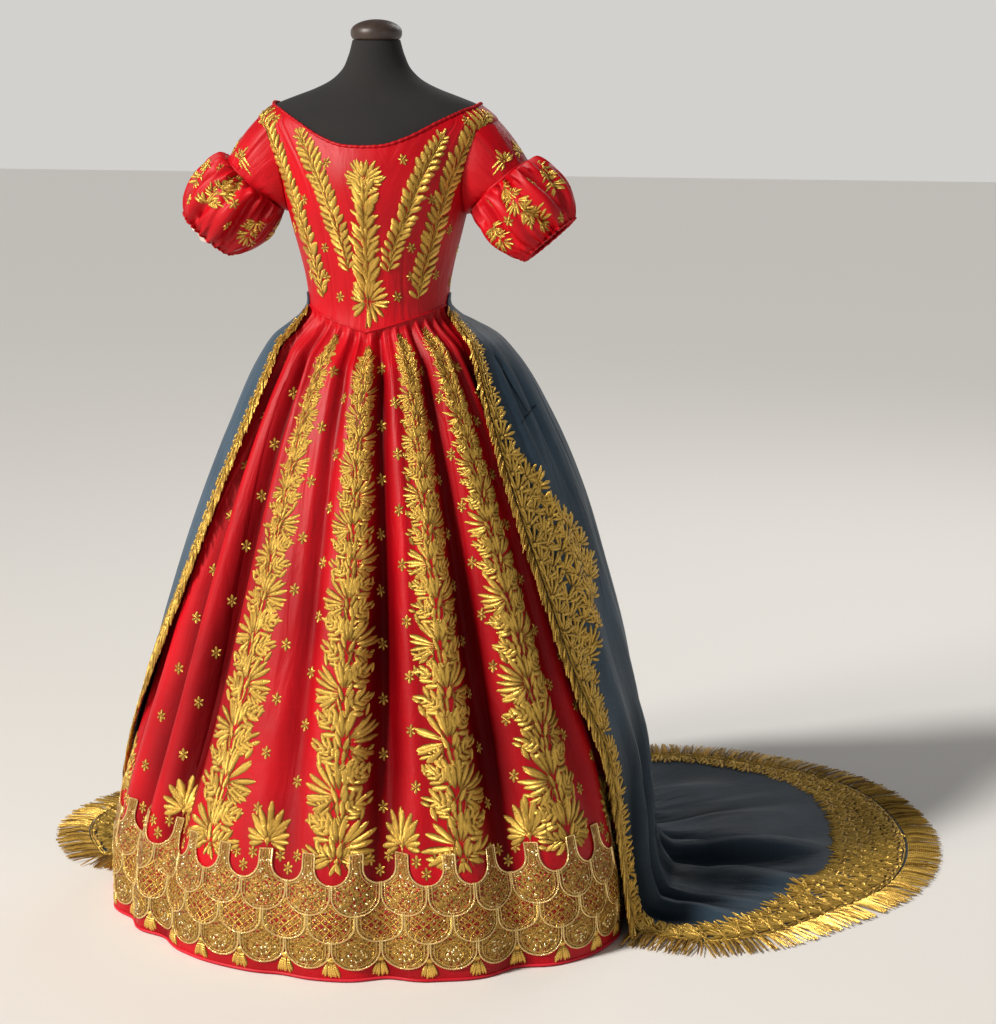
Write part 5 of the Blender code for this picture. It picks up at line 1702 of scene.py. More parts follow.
# Hem band: bays round the whole hem, heights of its rows
BAYS = 38
BAY_PITCH = 360.0 / BAYS
BAY_START = 14.6
BAND_SHOWN = range(-12, 8)
TOWER_TOP = 0.196
TOWER_HALF = 0.13
SCALLOP_FILL = 0.97         # share of its bay that a scallop's ground covers
SCALLOP_DOME = 0.0010
BAY_BOTTOM = 0.150
BAY_ROUND = 0.026

Scallop = namedtuple("Scallop", "name top round bottom shift lift")
SCALLOPS = [
    Scallop("lower", 0.104, 0.048, 0.019, 0.0, 0.0008),
    Scallop("middle", 0.151, 0.090, 0.061, 0.5, 0.0014),
    Scallop("upper", TOWER_TOP, 0.133, 0.103, 0.0, 0.0020),
]


def skirt_place(angle, z):
    """Row and column of the skirt's cloth at an angle and height."""
    return skirt_row(angle, z), skirt_column(angle)


def skirt_at(angle, z, lift=0.0):
    """Point of the skirt's silk at an angle and height."""
    return skirt.point(*skirt_place(angle, z), lift)


def skirt_path(first, last, bottom, top, steps=60):
    """Path up the skirt: rows and columns between two heights, turning between two angles."""
    z = np.linspace(bottom, top, steps)
    down = (WAIST_Z - z) / WAIST_Z
    return skirt_place(first + (last - first) * down, z)


def vine_angle(vine, z):
    """Angle of a vine at a height."""
    return vine.waist + (vine.hem - vine.waist) * (WAIST_Z - z) / WAIST_Z


def make_vines(rng):
    """Gold vines up the skirt, their fans on one side and the other in turn."""
    leaves = []
    stems = []
    for number, vine in enumerate(VINES):
        rows, columns = skirt_path(vine.waist, vine.hem, VINE_FOOT, vine.top)
        z = np.linspace(VINE_FOOT, vine.top, len(rows))
        length = path_length(skirt, rows, columns)
        spots = []
        at = 0.012
        flip = -1 if number % 2 else 1
        spots += scaled(VINE_ROOT, 0.095, at)
        while at < length - 0.01:
            height = float(np.interp(at / length, (0, 1), (VINE_FOOT, vine.top)))
            size = float(smooth_width(height))
            fits = min(1.0, (length - at) / (1.25 * size))
            spots += scaled(VINE_REPEAT, size * max(fits, 0.35), at, flip)
            at += VINE_RISE * size * max(fits, 0.35)
            flip = -flip
        leaves.append(embroider(skirt, rows, columns, spots, rng))
        run = np.linspace(0, length, 130)
        wide = smooth_width(np.interp(run, (0, length), (z[0], z[-1])))
        for phase, reach in ((0.0, 0.10), (1.9, 0.17), (3.6, 0.13)):
            aside = reach * wide * np.sin(phase + 2 * math.pi * np.cumsum(
                np.full(130, length / 130) / (2 * VINE_RISE * wide)))
            row, column, _ = follow(skirt, rows, columns, run, aside, 0 * run)
            stems.append(cord_along(skirt, row, column, 0.0008, 0.0008, sides=4, tone=0.2))
    gild("skirt_vine_leaves", leaves)
    gild("skirt_vine_stems", stems)


def smooth_width(z):
    """Width of a vine at a height."""
    return read(VINE_WIDTHS, "width", z)


def set_stars(cloth, rows, columns, rng, size=1.0):
    """Small stars, upright at their places on a cloth."""
    parts = []
    for spot in STAR:
        row = np.asarray(rows, float)
        column = np.asarray(columns, float)
        turn = np.full(len(row), math.radians(spot.turn))
        right, up, length, width = (np.full(len(row), value * size) for value in (
            spot.aside, spot.along, spot.length, spot.width))
        down, across = cloth.step(row, column, right, up)
        tone = rng.uniform(0.3, 0.7, len(row))
        parts.append(lay(cloth, spot.kind, row + down, column + across, turn, length, width,
                         STAR_HEIGHT, WORK_LIFT, tone))
    return joined(parts)


STAR_RISE = 0.080
STAR_LOW = 0.255
STAR_HIGH = 0.93
BAY_STARS = ((-0.20, 0.186), (0.20, 0.189), (0.0, 0.168))
VINE_CLEAR = 5.5            # degrees from a vine in which a bay has no stars


def make_skirt_stars(rng):
    """Two staggered files of stars between each pair of vines, and three in each open bay."""
    angles = []
    heights = []
    for left, right in zip(VINES[:-1], VINES[1:]):
        for share, start in ((0.36, 0.0), (0.64, 0.5)):
            for z in np.arange(STAR_LOW + start * STAR_RISE, STAR_HIGH, STAR_RISE):
                angle = vine_angle(left, z) * (1 - share) + vine_angle(right, z) * share
                angles.append(angle + rng.normal(0, 0.25))
                heights.append(z + rng.normal(0, 0.002))
    for bay in BAND_SHOWN:
        middle = BAY_START + BAY_PITCH * (bay + 0.5)
        if min(abs(middle - vine_angle(vine, BAY_BOTTOM)) for vine in VINES) < VINE_CLEAR:
            continue
        for beside, z in BAY_STARS:
            angles.append(middle + beside * BAY_PITCH)
            heights.append(z)
    angles = np.array(angles)
    heights = np.array(heights)
    stars = set_stars(skirt, *skirt_place(angles, heights), rng)
    put("skirt_stars", stars, GOLD_LEAF, "gold_bullion")


PALMETTE_HEIGHT = 0.073


def make_palmettes(rng):
    """A palmette on every third tower of the hem band, between two vines."""
    parts = []
    for step in range(-4, 3):
        angle = BAY_START + 3 * BAY_PITCH * step
        rows, columns = skirt_path(angle, angle, TOWER_TOP + 0.001, TOWER_TOP + 0.12, 12)
        parts.append(embroider(skirt, rows, columns, scaled(PALMETTE, PALMETTE_HEIGHT), rng,
                               wander=2.0))
    gild("skirt_palmettes", parts)


def scallop_half(scallop, z):
    """Half width of a scallop at a height, in bay pitches: a straight side, a round foot.

    The upper row's narrows to its tower above, along the round bays between the towers.
    """
    fall = np.clip((scallop.round - z) / (scallop.round - scallop.bottom), 0, 1)
    half = 0.5 * np.sqrt(1 - fall**2)
    if scallop.top == TOWER_TOP:
        low = np.clip((BAY_BOTTOM + BAY_ROUND - z) / BAY_ROUND, 0, 1)
        bay = (0.5 - TOWER_HALF) * np.sqrt(1 - low**2)
        half = np.where(z > BAY_BOTTOM, 0.5 - bay, half)
    return half


def scallop_place(scallop, middle, u, v):
    """Angle and height on a scallop: u across it from -1 to 1, v down it from 0 to 1."""
    z = scallop.top + (scallop.bottom - scallop.top) * v
    return middle + (scallop_half(scallop, z) * SCALLOP_FILL * u + scallop.shift) * BAY_PITCH, z


def scallop_at(scallop, middle, u, v, lift):
    """Point of a scallop's dome."""
    angle, z = scallop_place(scallop, middle, u, v)
    return skirt_at(angle, z, scallop.lift + SCALLOP_DOME * (1 - u * u) + lift)


def make_scallops():
    """Domed gold grounds of the hem band: three rows that lie over each other like scales."""
    across = np.sin(np.linspace(-0.5 * math.pi, 0.5 * math.pi, 11))
    down = 1 - (1 - np.linspace(0, 0.997, 14)) ** 1.5
    u, v = np.meshgrid(across, down)
    for scallop in SCALLOPS:
        parts = []
        for bay in BAND_SHOWN:
            middle = BAY_START + BAY_PITCH * bay
            inner = skirt_at(*scallop_place(scallop, middle, u, v), 0.0002)
            parts.append(shell(scallop_at(scallop, middle, u, v, 0.0), inner))
        gild("hem_ground_" + scallop.name, parts, GOLD_GROUND[scallop.name])


def band_cord(angle, z, lift, radius, sides=5, tone=0.8):
    """Cord on the skirt along one or more paths of angles and heights."""
    return cord_along(skirt, *skirt_place(angle, z), radius, lift, sides, tone)


def make_band_cords():
    """Bright cords round the scallops, the bays and the tops of the towers."""
    sweep = np.linspace(-0.5 * math.pi, 0.5 * math.pi, 17)
    bays = np.array(BAND_SHOWN)[:, None]
    parts = []
    for scallop in SCALLOPS:
        stay = scallop.round
        side_top = min(BAY_BOTTOM + 0.002, stay + 0.020)
        for share, radius, tone in ((0.955, 0.0013, 0.8), (0.80, 0.0008, 0.4)):
            round_x = 0.5 * share * np.sin(sweep)
            round_z = stay - (stay - scallop.bottom) * share * np.cos(sweep)
            x = np.concatenate([[round_x[0]], round_x, [round_x[-1]]])
            z = np.concatenate([[side_top], round_z, [side_top]])
            angle = BAY_START + BAY_PITCH * (bays + scallop.shift + x)
            height = z + 0 * angle
            parts.append(band_cord(angle, height, scallop.lift + 0.0010, radius, 5, tone))
    for inset, radius, tone in ((0.0, 0.0014, 0.8), (-0.055, 0.0008, 0.4)):
        half = 0.5 - TOWER_HALF - inset
        round_x = half * np.sin(sweep)
        base = BAY_BOTTOM + BAY_ROUND
        round_z = base - (BAY_ROUND - 0.066 * inset) * np.cos(sweep)
        top = TOWER_TOP + 0.04 * inset
        x = np.concatenate([[-half, -half], round_x[1:-1], [half, half, 1 - half]])
        z = np.concatenate([[top, base], round_z[1:-1], [base, top, top]])
        angle = BAY_START + BAY_PITCH * (bays + 0.5 + x)
        parts.append(band_cord(angle, z + 0 * angle, 0.0024, radius, 5, tone))
    gild("hem_band_cords", parts, GOLD_CORD)


LATTICE_LINES = 7           # in each direction on a scallop
LATTICE_CORD = 0.0007


def make_band_filling(rng):
    """Spangles on the upper row, a lattice with beads on the middle row, rosettes below."""
    cords = []
    lower, middle_row, upper = SCALLOPS
    steps = np.linspace(-1, 1, 9)
    for bay in BAND_SHOWN:
        centre = BAY_START + BAY_PITCH * bay
        for lean in (-1, 1):
            for line in np.linspace(-1.2, 1.2, LATTICE_LINES):
                u = np.clip(line + lean * steps, -0.95, 0.95)
                v = 0.62 + 0.34 * steps
                cords.append(scallop_at(middle_row, centre, u, v, 0.0004))
        for ring in (0.32, 0.58):
            turn = np.linspace(-2.4, 2.4, 9)
            u = ring * 1.3 * np.sin(turn)
            v = 0.72 + ring * 0.42 * -np.cos(turn)
            cords.append(scallop_at(lower, centre, u, v, 0.0006))
    face = np.array((0, -1.0, 0.2))
    tone = rng.uniform(0.5, 1, len(cords))
    lattice = tubes(np.array(cords), LATTICE_CORD, face, sides=4, tone=tone)
    put("hem_lattice", lattice, GOLD_LEAF, "gold_bullion")
    beads = []
    flecks = []
    for bay in BAND_SHOWN:
        centre = BAY_START + BAY_PITCH * bay
        u = rng.uniform(-0.85, 0.85, 22)
        v = rng.uniform(0.10, 0.93, 22)
        beads.append(spangles(upper, centre, u, v, 0.0034, rng))
        u, v = np.meshgrid(np.linspace(-0.66, 0.66, 4), np.linspace(0.45, 0.88, 4))
        beads.append(spangles(middle_row, centre, u.ravel(), v.ravel(), 0.0030, rng))
        turn = np.linspace(0, 2 * math.pi, 8, endpoint=False)
        u = np.concatenate([0.30 * np.sin(turn), [0.0], rng.uniform(-0.7, 0.7, 8)])
        v = np.concatenate([0.72 + 0.12 * np.cos(turn), [0.72], rng.uniform(0.5, 0.92, 8)])
        beads.append(spangles(lower, centre, u, v, 0.0036, rng))
        u = rng.uniform(-0.8, 0.8, 7)
        v = rng.uniform(0.20, 0.9, 7)
        flecks.append(spangles(upper, centre, u, v, 0.0028, rng))
    gild("hem_spangles", beads, SEQUINS)
    put("hem_red_spangles", joined(flecks), RED_FOIL, "red_silk")


def spangles(scallop, middle, u, v, size, rng):
    """Round spangles on a scallop, each with its own size."""
    angle, z = scallop_place(scallop, middle, u, v)
    lift = scallop.lift + 0.0009 * (1 - u * u)
    size = size * rng.uniform(0.7, 1.15, len(u))
    return lay(skirt, "bead", *skirt_place(angle, z), 0 * u, size, size, 0.0010,
               lift[:, None], rng.uniform(0.2, 1.0, len(u)))


TASSEL = (
    shapes("petal", *[(0.05 * share, -0.24, 180 - 6 * share, 0.80, 0.22)
                      for share in (-3, -2, -1, 0, 1, 2, 3)])
    + shapes("bead", (0.0, -0.14, 0, 0.34, 0.44)) + shapes("sliver", (0.0, 0.0, 180, 0.20, 0.14)))
TASSEL_LENGTH = 0.031
TASSEL_TOP = 0.039
TASSEL_FOOT = 0.004


def make_tassels(rng):
    """Small tassels on the red strip between the lowest scallops."""
    parts = []
    for bay in BAND_SHOWN:
        angle = BAY_START + BAY_PITCH * (bay + 0.5)
        rows, columns = skirt_path(angle, angle, TASSEL_FOOT, 0.10, 8)
        along = TASSEL_TOP - TASSEL_FOOT
        parts.append(embroider(skirt, rows, columns, scaled(TASSEL, TASSEL_LENGTH, along), rng,
                               height=0.45, wander=2.0))
    gild("hem_tassels", parts, GOLD_FRINGE)


# Train border: width of the gold from the cloth's edge, by height up both front edges and by
# angle along the end
LEFT_BORDER = table(Width, [
    (0.0, 0.05), (0.1, 0.04), (0.2, 0.032), (0.32, 0.046), (0.4, 0.082), (0.46, 0.122),
    (0.55, 0.142), (0.62, 0.112), (0.7, 0.075), (0.76, 0.045), (0.86, 0.026), (0.97, 0.018),
])
RIGHT_BORDER = table(Width, [
    (0.0, 0.045), (0.25, 0.036), (0.5, 0.019), (0.8, 0.013), (0.97, 0.012),
])

FloorWidth = namedtuple("FloorWidth", "angle width")
END_BORDER = table(FloorWidth, [
    (75, 0.055), (85, 0.075), (95, 0.1), (108, 0.118), (125, 0.125), (140, 0.09), (155, 0.055),
    (180, 0.048), (225, 0.06), (245, 0.075), (263, 0.05),
])

TIER = 0.026
PETAL_LONG = 0.034
TIER_LIFT = 0.0011
BORDER_CORDS = ((0.0025, 0.0016, 0.0014), (0.0070, 0.0010, 0.0010))   # inset, radius, lift
BORDER_STEP = 0.006


def border_tiers(length, widths, point, rng):
    """Spiky fans in tiers from the cords to the border's inner edge: one list for each tier.

    point is the turn of the fans from the way along the edge.
    """
    rows = {}
    at = 0.004
    while at < length - 0.008:
        width = float(widths(at / length)) - 0.006
        size = max(0.008, min(PETAL_LONG, 1.15 * width))
        tiers = 1 + int(math.ceil((width - 0.85 * size) / TIER - 0.05))
        deep = (width - 0.85 * size) / max(1, tiers - 1)
        pitch = max(0.011, 0.86 * size)
        for tier in range(tiers):
            reach = size * rng.uniform(0.90, 1.10)
            aside = 0.007 + deep * tier + rng.normal(0, 0.0012)
            along = at + pitch * (0.5 * (tier % 2)) + rng.normal(0, 0.0015)
            lean = point + rng.normal(0, 9)
            count = 7 if size > 0.03 else 6
            row = rows.setdefault(tier, [])
            row += fan(aside, along, lean, 66, count, reach, 0.20 * reach)
            row += fan(aside, along, lean, 38, 3, 0.66 * reach, 0.19 * reach)
            row.append(Spot("bead", aside, along, 0, 0.26 * reach, 0.26 * reach))
        at += pitch
    return [rows[tier] for tier in sorted(rows)]


def make_train_border(rng):
    """Gold border of spiky fans inside twin cords, round the whole edge of the train."""
    start = 4.0
    last_row = float(TRAIN_ROWS)
    last = float(TRAIN_COLUMNS)
    rows = np.linspace(start, last_row - 0.4, 260)

    def left_width(share):
        row = np.interp(share, (0, 1), (start, last_row))
        z = float(train.point(np.array([row]), np.array([0.0]))[0, 2])
        return read(LEFT_BORDER, "width", z)

    def right_width(share):
        row = np.interp(share, (0, 1), (last_row, start))
        z = float(train.point(np.array([row]), np.array([last]))[0, 2])
        return read(RIGHT_BORDER, "width", z)

    def end_width(share):
        angle = REACH_LEFT + (REACH_RIGHT - REACH_LEFT) * share
        return read(END_BORDER, "width", angle, key="angle")

    inset = 0.15
    turns = {
        "left": (rows, np.full(len(rows), inset), left_width, 142),
        "end": (np.full(420, last_row - 0.15), np.linspace(0.5, last - 0.5, 420), end_width, 120),
        "right": (rows[::-1], np.full(len(rows), last - inset), right_width, 40),
    }
    side = -1
    for name, (row, column, widths, point) in turns.items():
        length = path_length(train, row, column)
        layers = []
        for tier, spots in enumerate(border_tiers(length, widths, point, rng)):
            if name != "left":
                spots = [spot._replace(kind="sliver") if spot.kind == "petal" else spot
                         for spot in spots]
            above = 0.0004 + TIER_LIFT * max(0, 2 - tier)
            layers.append(embroider(train, row, column, scaled(spots, 1.0, 0.0, side), rng,
                                    height=0.30, lift=above, wander=5.0))
        gild("train_border_" + name, layers)
        steps = np.linspace(0, length, int(length / BORDER_STEP))
        parts = []
        for aside, radius, lift in BORDER_CORDS:
            path = follow(train, row, column, steps, side * aside, 0 * steps)
            parts.append(cord_along(train, path[0], path[1], radius, lift, sides=6, tone=0.8))
        gild("train_cords_" + name, parts)


# Bodice and sleeves: paths in degrees and metres, from the waist upwards
BODICE_VINES = {
    "inner_left": ((18, 1.045), (22, 1.087), (28.5, 1.130), (34, 1.179), (38, 1.222), (40, 1.256)),
    "inner_right": ((-12, 1.045), (-14, 1.086), (-18, 1.129), (-24, 1.178), (-30, 1.222),
                    (-34, 1.256)),
    "outer_left": ((43, 1.000), (46, 1.038), (49.5, 1.081), (52, 1.120), (55, 1.157),
                   (57, 1.190), (58.5, 1.225), (62, 1.256), (70, 1.277), (80, 1.282)),
    "outer_right": ((-40, 1.000), (-42.5, 1.039), (-46, 1.091), (-50, 1.142), (-55, 1.190),
                    (-57.5, 1.225), (-61, 1.256), (-70, 1.277), (-80, 1.282)),
}
BACK_VINES = {
    "inner": ((163, 1.0), (161, 1.06), (158, 1.12), (152, 1.18), (146, 1.24)),
    "outer": ((131, 1.005), (132, 1.06), (134, 1.12), (132, 1.18), (126, 1.24), (118, 1.275)),
}
for vine_name, vine_points in BACK_VINES.items():
    BODICE_VINES["back_%s_left" % vine_name] = vine_points
    BODICE_VINES["back_%s_right" % vine_name] = [(-angle, z) for angle, z in vine_points]

LAUREL_RISE = 0.0118
LAUREL_WIDTH = 0.039

BODICE_STARS = [
    (-19.0, 1.211), (22.5, 1.217), (-54.6, 1.222), (61.0, 1.245), (-39.5, 1.153), (45.0, 1.156),
    (-28.9, 1.080), (34.2, 1.082), (-21.9, 1.003), (25.3, 1.005), (-54.2, 1.033), (59.7, 1.036),
    (65.8, 1.106), (-63.0, 1.106), (-51.0, 1.273), (53.2, 1.273), (-33, 1.033), (36, 1.036),
    (175, 1.20), (-175, 1.16), (172, 1.10), (-172, 1.05), (146, 1.05), (-146, 1.05), (144, 1.14),
    (-144, 1.14), (112, 1.02), (-112, 1.02), (116, 1.09), (-116, 1.09), (88, 1.02), (-88, 1.02),
    (90, 1.07), (-90, 1.07),
]

# Middle of the bodice in metres from its lowest leaf: palmettes one over the other
CENTRE_FOOT = 0.956
CENTRE_TOP = 1.224
CENTRE_BOW = 0.222
LOWEST_PAIR = 0.066
PAIR_RISE = 0.0185


def centre_spots():
    """The tree at centre front: pendant, low fan, leaf pairs, a bow of two leaves, a wide head."""
    spots = fan(0.0, 0.046, 180, 38, 5, 0.044, 0.0085) + fan(0.0, 0.040, 0, 108, 11, 0.037, 0.0085)
    spots += fan(0.0, 0.050, 0, 66, 7, 0.036, 0.0080)
    for along in np.arange(LOWEST_PAIR, 0.215, PAIR_RISE):
        reach = float(np.interp(along, (LOWEST_PAIR, 0.11, 0.20), (0.036, 0.031, 0.030)))
        for side in (-1, 1):
            spots.append(Spot("leaf", side * 0.0015, along, side * 34, reach, 0.0125))
            spots.append(Spot("petal", side * 0.001, along - 0.003, side * 58, 0.78 * reach,
                              0.0075))
            spots.append(Spot("petal", side * 0.001, along + 0.004, side * 11, 0.80 * reach,
                              0.0070))
    for side in (-1, 1):
        spots += frond(side * 0.002, CENTRE_BOW, side * 62, 0.036, pairs=3, width=0.36)
        spots += frond(side * 0.002, CENTRE_BOW + 0.004, side * 24, 0.022, pairs=2)
    spots += fan(0.0, CENTRE_BOW + 0.013, 0, 98, 13, 0.034, 0.0072)
    spots += fan(0.0, CENTRE_BOW + 0.016, 0, 56, 6, 0.026, 0.0066)
    return spots


def laurel_spots(length, width):
    """Pairs of leaves up a stem, tips up and outwards, with small slivers between."""
    spots = []
    for along in np.arange(0.002, length - 0.010, LAUREL_RISE):
        fade = 0.75 + 0.25 * min(1.0, along / 0.05)
        fade = fade * (1 - 0.4 * float(ease(1 - (length - along) / 0.06)))
        reach = 0.60 * width * fade
        for side in (-1, 1):
            spots.append(Spot("leaf", side * 0.001, along + 0.002 * side, side * 46, 1.02 * reach,
                              0.0104 * fade))
            spots.append(Spot("petal", side * 0.001, along + 0.005, side * 16, 0.80 * reach,
                              0.0052))
    spots += fan(0.0, length - 0.012, 0, 46, 3, 0.020, 0.0055)
    return spots


def bodice_path(points, steps=50):
    """Rows and columns of a smooth path through angles and heights on the bodice."""
    points = np.array(points, float)
    at = np.linspace(0, len(points) - 1, steps)
    spots = smooth(np.arange(len(points), dtype=float), points, at)
    return bodice_place(spots[:, 0], spots[:, 1])


def make_bodice_gold(rng):
    """Laurel vines up the bodice, the tree at centre front, and stars between them."""
    parts = []
    stems = []
    for name, points in BODICE_VINES.items():
        rows, columns = bodice_path(points)
        length = path_length(bodice, rows, columns)
        width = LAUREL_WIDTH * (1.12 if "outer" in name else 1.0)
        parts.append(embroider(bodice, rows, columns, laurel_spots(length, width), rng,
                               height=0.24, wander=4.0))
        stems.append(cord_along(bodice, rows, columns, 0.0009, 0.0009, sides=4))
    rows, columns = bodice_path(((0.3, CENTRE_FOOT), (2.0, 1.02), (3.0, 1.11), (2.6, CENTRE_TOP)))
    parts.append(embroider(bodice, rows, columns, centre_spots(), rng, height=0.24, wander=6.0))
    stems.append(cord_along(bodice, rows[:42], columns[:42], 0.0010, 0.0010, sides=4))
    angles, heights = np.array(BODICE_STARS).T
    parts.append(set_stars(bodice, *bodice_place(angles, heights), rng, 0.92))
    gild("bodice_leaves", parts)
    gild("bodice_stems", stems)


# Sprays on the balloons: ring order and turn in degrees of the foot and the head
Spray = namedtuple("Spray", "order turn order_end turn_end size")
SIDE_SPRAYS = table(Spray, [
    (1.7, 20, 4.3, 14, 0.038), (1.6, 320, 4.2, 326, 0.038), (1.6, 262, 4.2, 256, 0.038),
    (1.6, 205, 4.2, 198, 0.038),
])
PUFF_SPRAYS = {
    "left": [Spray(1.25, 84, 3.2, 78, 0.040), Spray(2.75, 84, 4.6, 62, 0.044), *SIDE_SPRAYS,
             Spray(2.4, 132, 4.4, 140, 0.034)],
    "right": [Spray(3.3, 70, 1.6, 80, 0.044), Spray(2.3, 74, 0.9, 84, 0.036), *SIDE_SPRAYS,
              Spray(2.2, 136, 4.2, 142, 0.034)],
}
SIDE_STARS = ((3.2, 350), (3.2, 292), (3.2, 232), (3.4, 168))
PUFF_STARS = {
    "left": ((2.15, 51), (2.85, 102), (4.4, 44), (1.6, 110)) + SIDE_STARS,
    "right": ((2.2, 99), (3.6, 48), (1.5, 44), (3.2, 110)) + SIDE_STARS,
}

# A spray in units of its size: two fans and two lobed leaves along a short stem
SPRAY = fan(0.0, 0.05, -20, 70, 7, 0.60, 0.13) + fan(0.0, 0.85, 14, 74, 8, 0.64, 0.13) + (
    frond(0.0, 0.36, 62, 0.62) + frond(0.0, 0.50, -60, 0.60)) + shapes("leaf",
    (0.0, 0.15, 78, 0.46, 0.15), (0.0, 0.2, -104, 0.36, 0.14), (0.0, 0.72, 40, 0.44, 0.15),
)


def puff_place(side, order, turn):
    """Row and column of a balloon's cloth at a ring order and a turn in degrees."""
    row = np.asarray(order, float) / 6.0 * (PUFF_ROWS - 1)
    share = np.asarray(turn, float) / 360.0 * PUFF_COLUMNS
    return row, (-share if side == "left" else share - 1)


def make_sleeve_gold(rng):
    """Sprays and stars on both balloons, and a fan on the front of each upper sleeve."""
    parts = []
    for side, cloth, short in (("left", puffs[0], upper_sleeves[0]),
                               ("right", puffs[1], upper_sleeves[1])):
        for spray in PUFF_SPRAYS[side]:
            order = np.linspace(spray.order, spray.order_end, 24)
            turn = np.linspace(spray.turn, spray.turn_end, 24)
            rows, columns = puff_place(side, order, turn)
            parts.append(embroider(cloth, rows, columns, scaled(SPRAY, spray.size), rng,
                                   height=0.24))
        order, turn = np.array(PUFF_STARS[side]).T
        rows, columns = puff_place(side, order, turn)
        parts.append(set_stars(cloth, rows, columns, rng, 0.95))
        count = short.grid.shape[1] - 1
        for place in (8, 26, 44):
            column = float(place if side == "left" else count - 1 - place)
            rows = np.linspace(18.5, 9.0, 20)
            columns = np.full(20, column)
            parts.append(embroider(short, rows, columns, scaled(SLEEVE_FAN, 0.032), rng))
    gild("sleeve_leaves", parts)


# Red trim

CORD_SIDES = 6
NECK_CORD = 0.0023
WAIST_CORD = 0.0015
HEM_CORD = 0.0022
HEM_CORD_Z = 0.0032
SLEEVE_CORD = 0.0022


def make_trim():
    """Ruched cord at the neck, and thin cords at the waist seam, the sleeves and the hem."""
    angle = np.arange(-180, 180, 0.5)
    ruche = 1 + 0.16 * np.sin(np.radians(angle * 120)) + 0.08 * np.sin(np.radians(angle * 77))
    neck = torso(angle, neck_edge(angle) - 0.0006, 0.0008)
    middle = neck.mean(axis=0)
    loop = partial(tubes, sides=CORD_SIDES, closed=True)
    cord = loop(neck[None], NECK_CORD * ruche[None], neck - middle)
    put("neck_cord", cord, RED_SILK, "red_silk")
    waist = torso(angle, waist_line(angle), 0.0006)
    cord = loop(waist[None], WAIST_CORD, waist - middle * (1, 1, 0))
    put("waist_cord", cord, RED_SILK, "red_silk")
    hem = skirt.point(SKIRT_ROWS - 0.35, np.arange(SKIRT_COLUMNS), 0.0004)
    hem[:, 2] = HEM_CORD_Z
    cord = loop(hem[None], HEM_CORD, np.array((0, 0, 1.0)))
    put("hem_cord", cord, HEM_SILK, "red_silk")
    parts = []
    for cloth in puffs:
        count = cloth.grid.shape[1] - 1
        columns = np.arange(0, count, 1.0)
        for row in (0.6, PUFF_ROWS - 7.0):
            ring = cloth.point(row, columns, 0.0008)
            away = cloth.read(cloth.normal, np.full(count, row), columns)
            parts.append(loop(ring[None], SLEEVE_CORD, away))
    put("sleeve_cords", joined(parts), RED_SILK, "red_silk")


# Camera, floor and light

CAMERA_PLACE = (0.8450, -3.7096, 1.48)
CAMERA_YAW = 10.0
CAMERA_PITCH = 12.4
PHOTO_LONG_SIDE = 1024
PHOTO_FOCAL = 2412
SENSOR = 36.0


def make_camera():
    """Camera at the photograph's height, turn and tilt; its focal length is in photo pixels."""
    lens = bpy.data.cameras.new("camera")
    lens.sensor_width = SENSOR
    lens.lens = PHOTO_FOCAL * SENSOR / PHOTO_LONG_SIDE
    yaw = math.radians(CAMERA_YAW)
    pitch = math.radians(CAMERA_PITCH)
    look = (-math.sin(yaw) * math.cos(pitch), math.cos(yaw) * math.cos(pitch), -math.sin(pitch))
    bpy.context.scene.camera = aimed("camera", lens, CAMERA_PLACE, look)


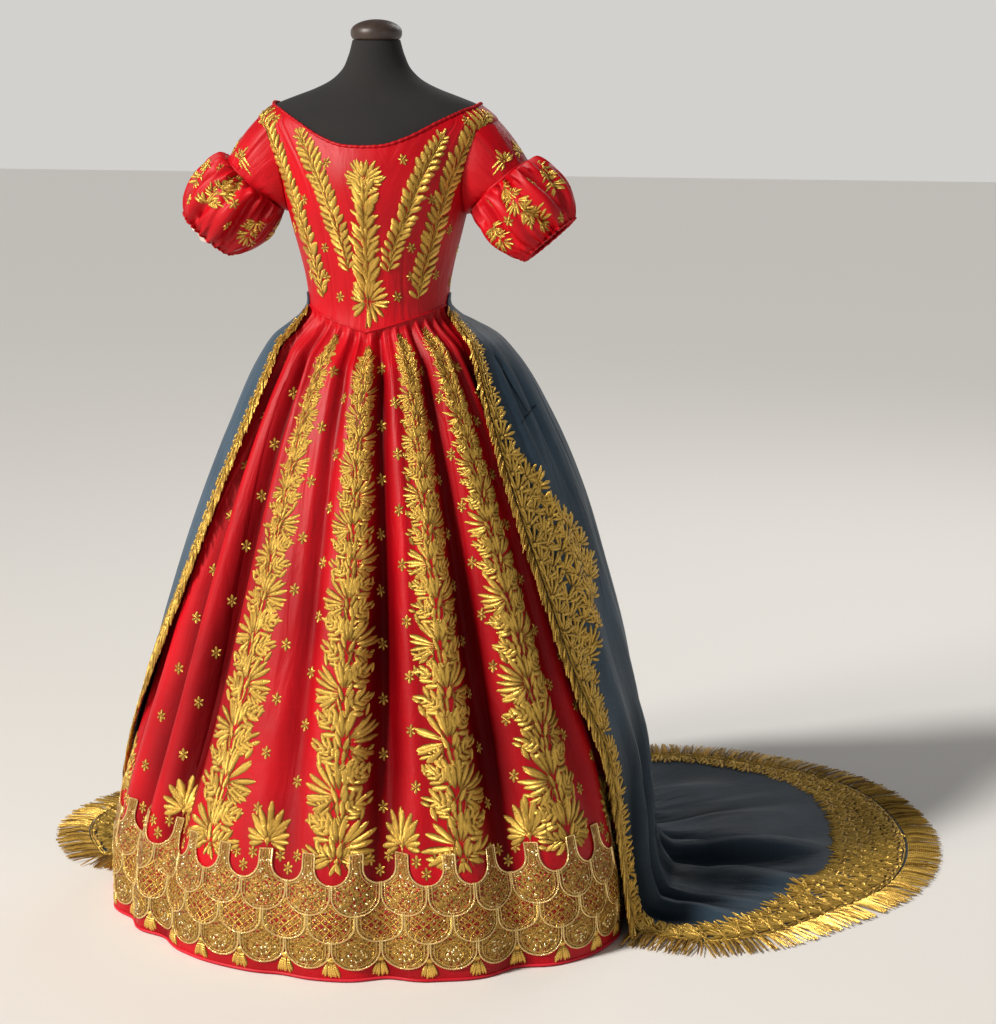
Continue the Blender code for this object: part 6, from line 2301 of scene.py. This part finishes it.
Lamp = namedtuple("Lamp", "name place aim size power colour")
LAMPS = [
    Lamp("key", (-2.4, -2.6, 2.6), (0.0, 0.0, 0.75), 0.9, 95.0, "#fff4e6"),
    Lamp("fill", (3.0, -2.6, 1.7), (0.2, 0.0, 0.6), 2.2, 8.0, "#eef3ff"),
    Lamp("back", (1.2, 3.0, 3.0), (0.2, 0.2, 0.5), 2.0, 32.0, "#ffffff"),
]
SUN_FROM = (-0.66, -0.60, 0.70)
SUN_STRENGTH = 3.1
SUN_SPREAD = 7.0
SKY = "#f1efec"
SKY_HIGH = 0.12
SKY_LOW = 0.74
SKY_LOW_TO = 0.10
SKY_HIGH_FROM = 0.34
FLOOR_SIZE = 30.0


def make_studio():
    """Pale floor, three soft lamps and an even pale sky."""
    mesh = bpy.data.meshes.new("floor")
    half = 0.5 * FLOOR_SIZE
    mesh.from_pydata([(-half, -half, 0), (half, -half, 0), (half, half, 0), (-half, half, 0)], [],
                     [(0, 1, 2, 3)])
    mesh.materials.append(plain_floor())
    floor = linked("floor", mesh)
    floor.location = (0, 0, -0.0005)
    for lamp in LAMPS:
        light = bpy.data.lights.new(lamp.name, "AREA")
        light.shape = "DISK"
        light.size = lamp.size
        light.energy = lamp.power
        light.color = linear(lamp.colour)[:3]
        aimed(lamp.name, light, lamp.place, Vector(lamp.aim) - Vector(lamp.place))
    even = bpy.data.lights.new("even", "SUN")
    even.energy = SUN_STRENGTH
    even.angle = math.radians(SUN_SPREAD)
    aimed("even", even, (0, 0, 0), -Vector(SUN_FROM))
    world = bpy.data.worlds.new("studio")
    world.use_nodes = True
    add = partial(node, world.node_tree)
    high = add("SeparateXYZ", Vector=add("TexCoord").node.outputs["Generated"])
    bright = add("MapRange", Value=high, From_Min=SKY_LOW_TO, From_Max=SKY_HIGH_FROM,
                 To_Min=SKY_LOW, To_Max=SKY_HIGH)
    feed(world.node_tree.nodes["Background"], Color=linear(SKY), Strength=bright)
    bpy.context.scene.world = world
    bpy.context.scene.view_settings.view_transform = "Standard"


make_camera()
make_studio()
skirt = make_skirt()
bodice = make_bodice()
upper_sleeves = make_upper_sleeves()
puffs = make_puffs()
make_lining()
train, train_line, train_places = make_train()
make_fringes(train_line, train_places)
make_slit()
make_form()
gold_rng = np.random.default_rng(RANDOM_SEED + 1)
make_vines(gold_rng)
make_skirt_stars(gold_rng)
make_palmettes(gold_rng)
make_scallops()
make_band_cords()
make_band_filling(gold_rng)
make_tassels(gold_rng)
make_train_border(gold_rng)
make_bodice_gold(gold_rng)
make_sleeve_gold(gold_rng)
make_trim()

declare_sheets()
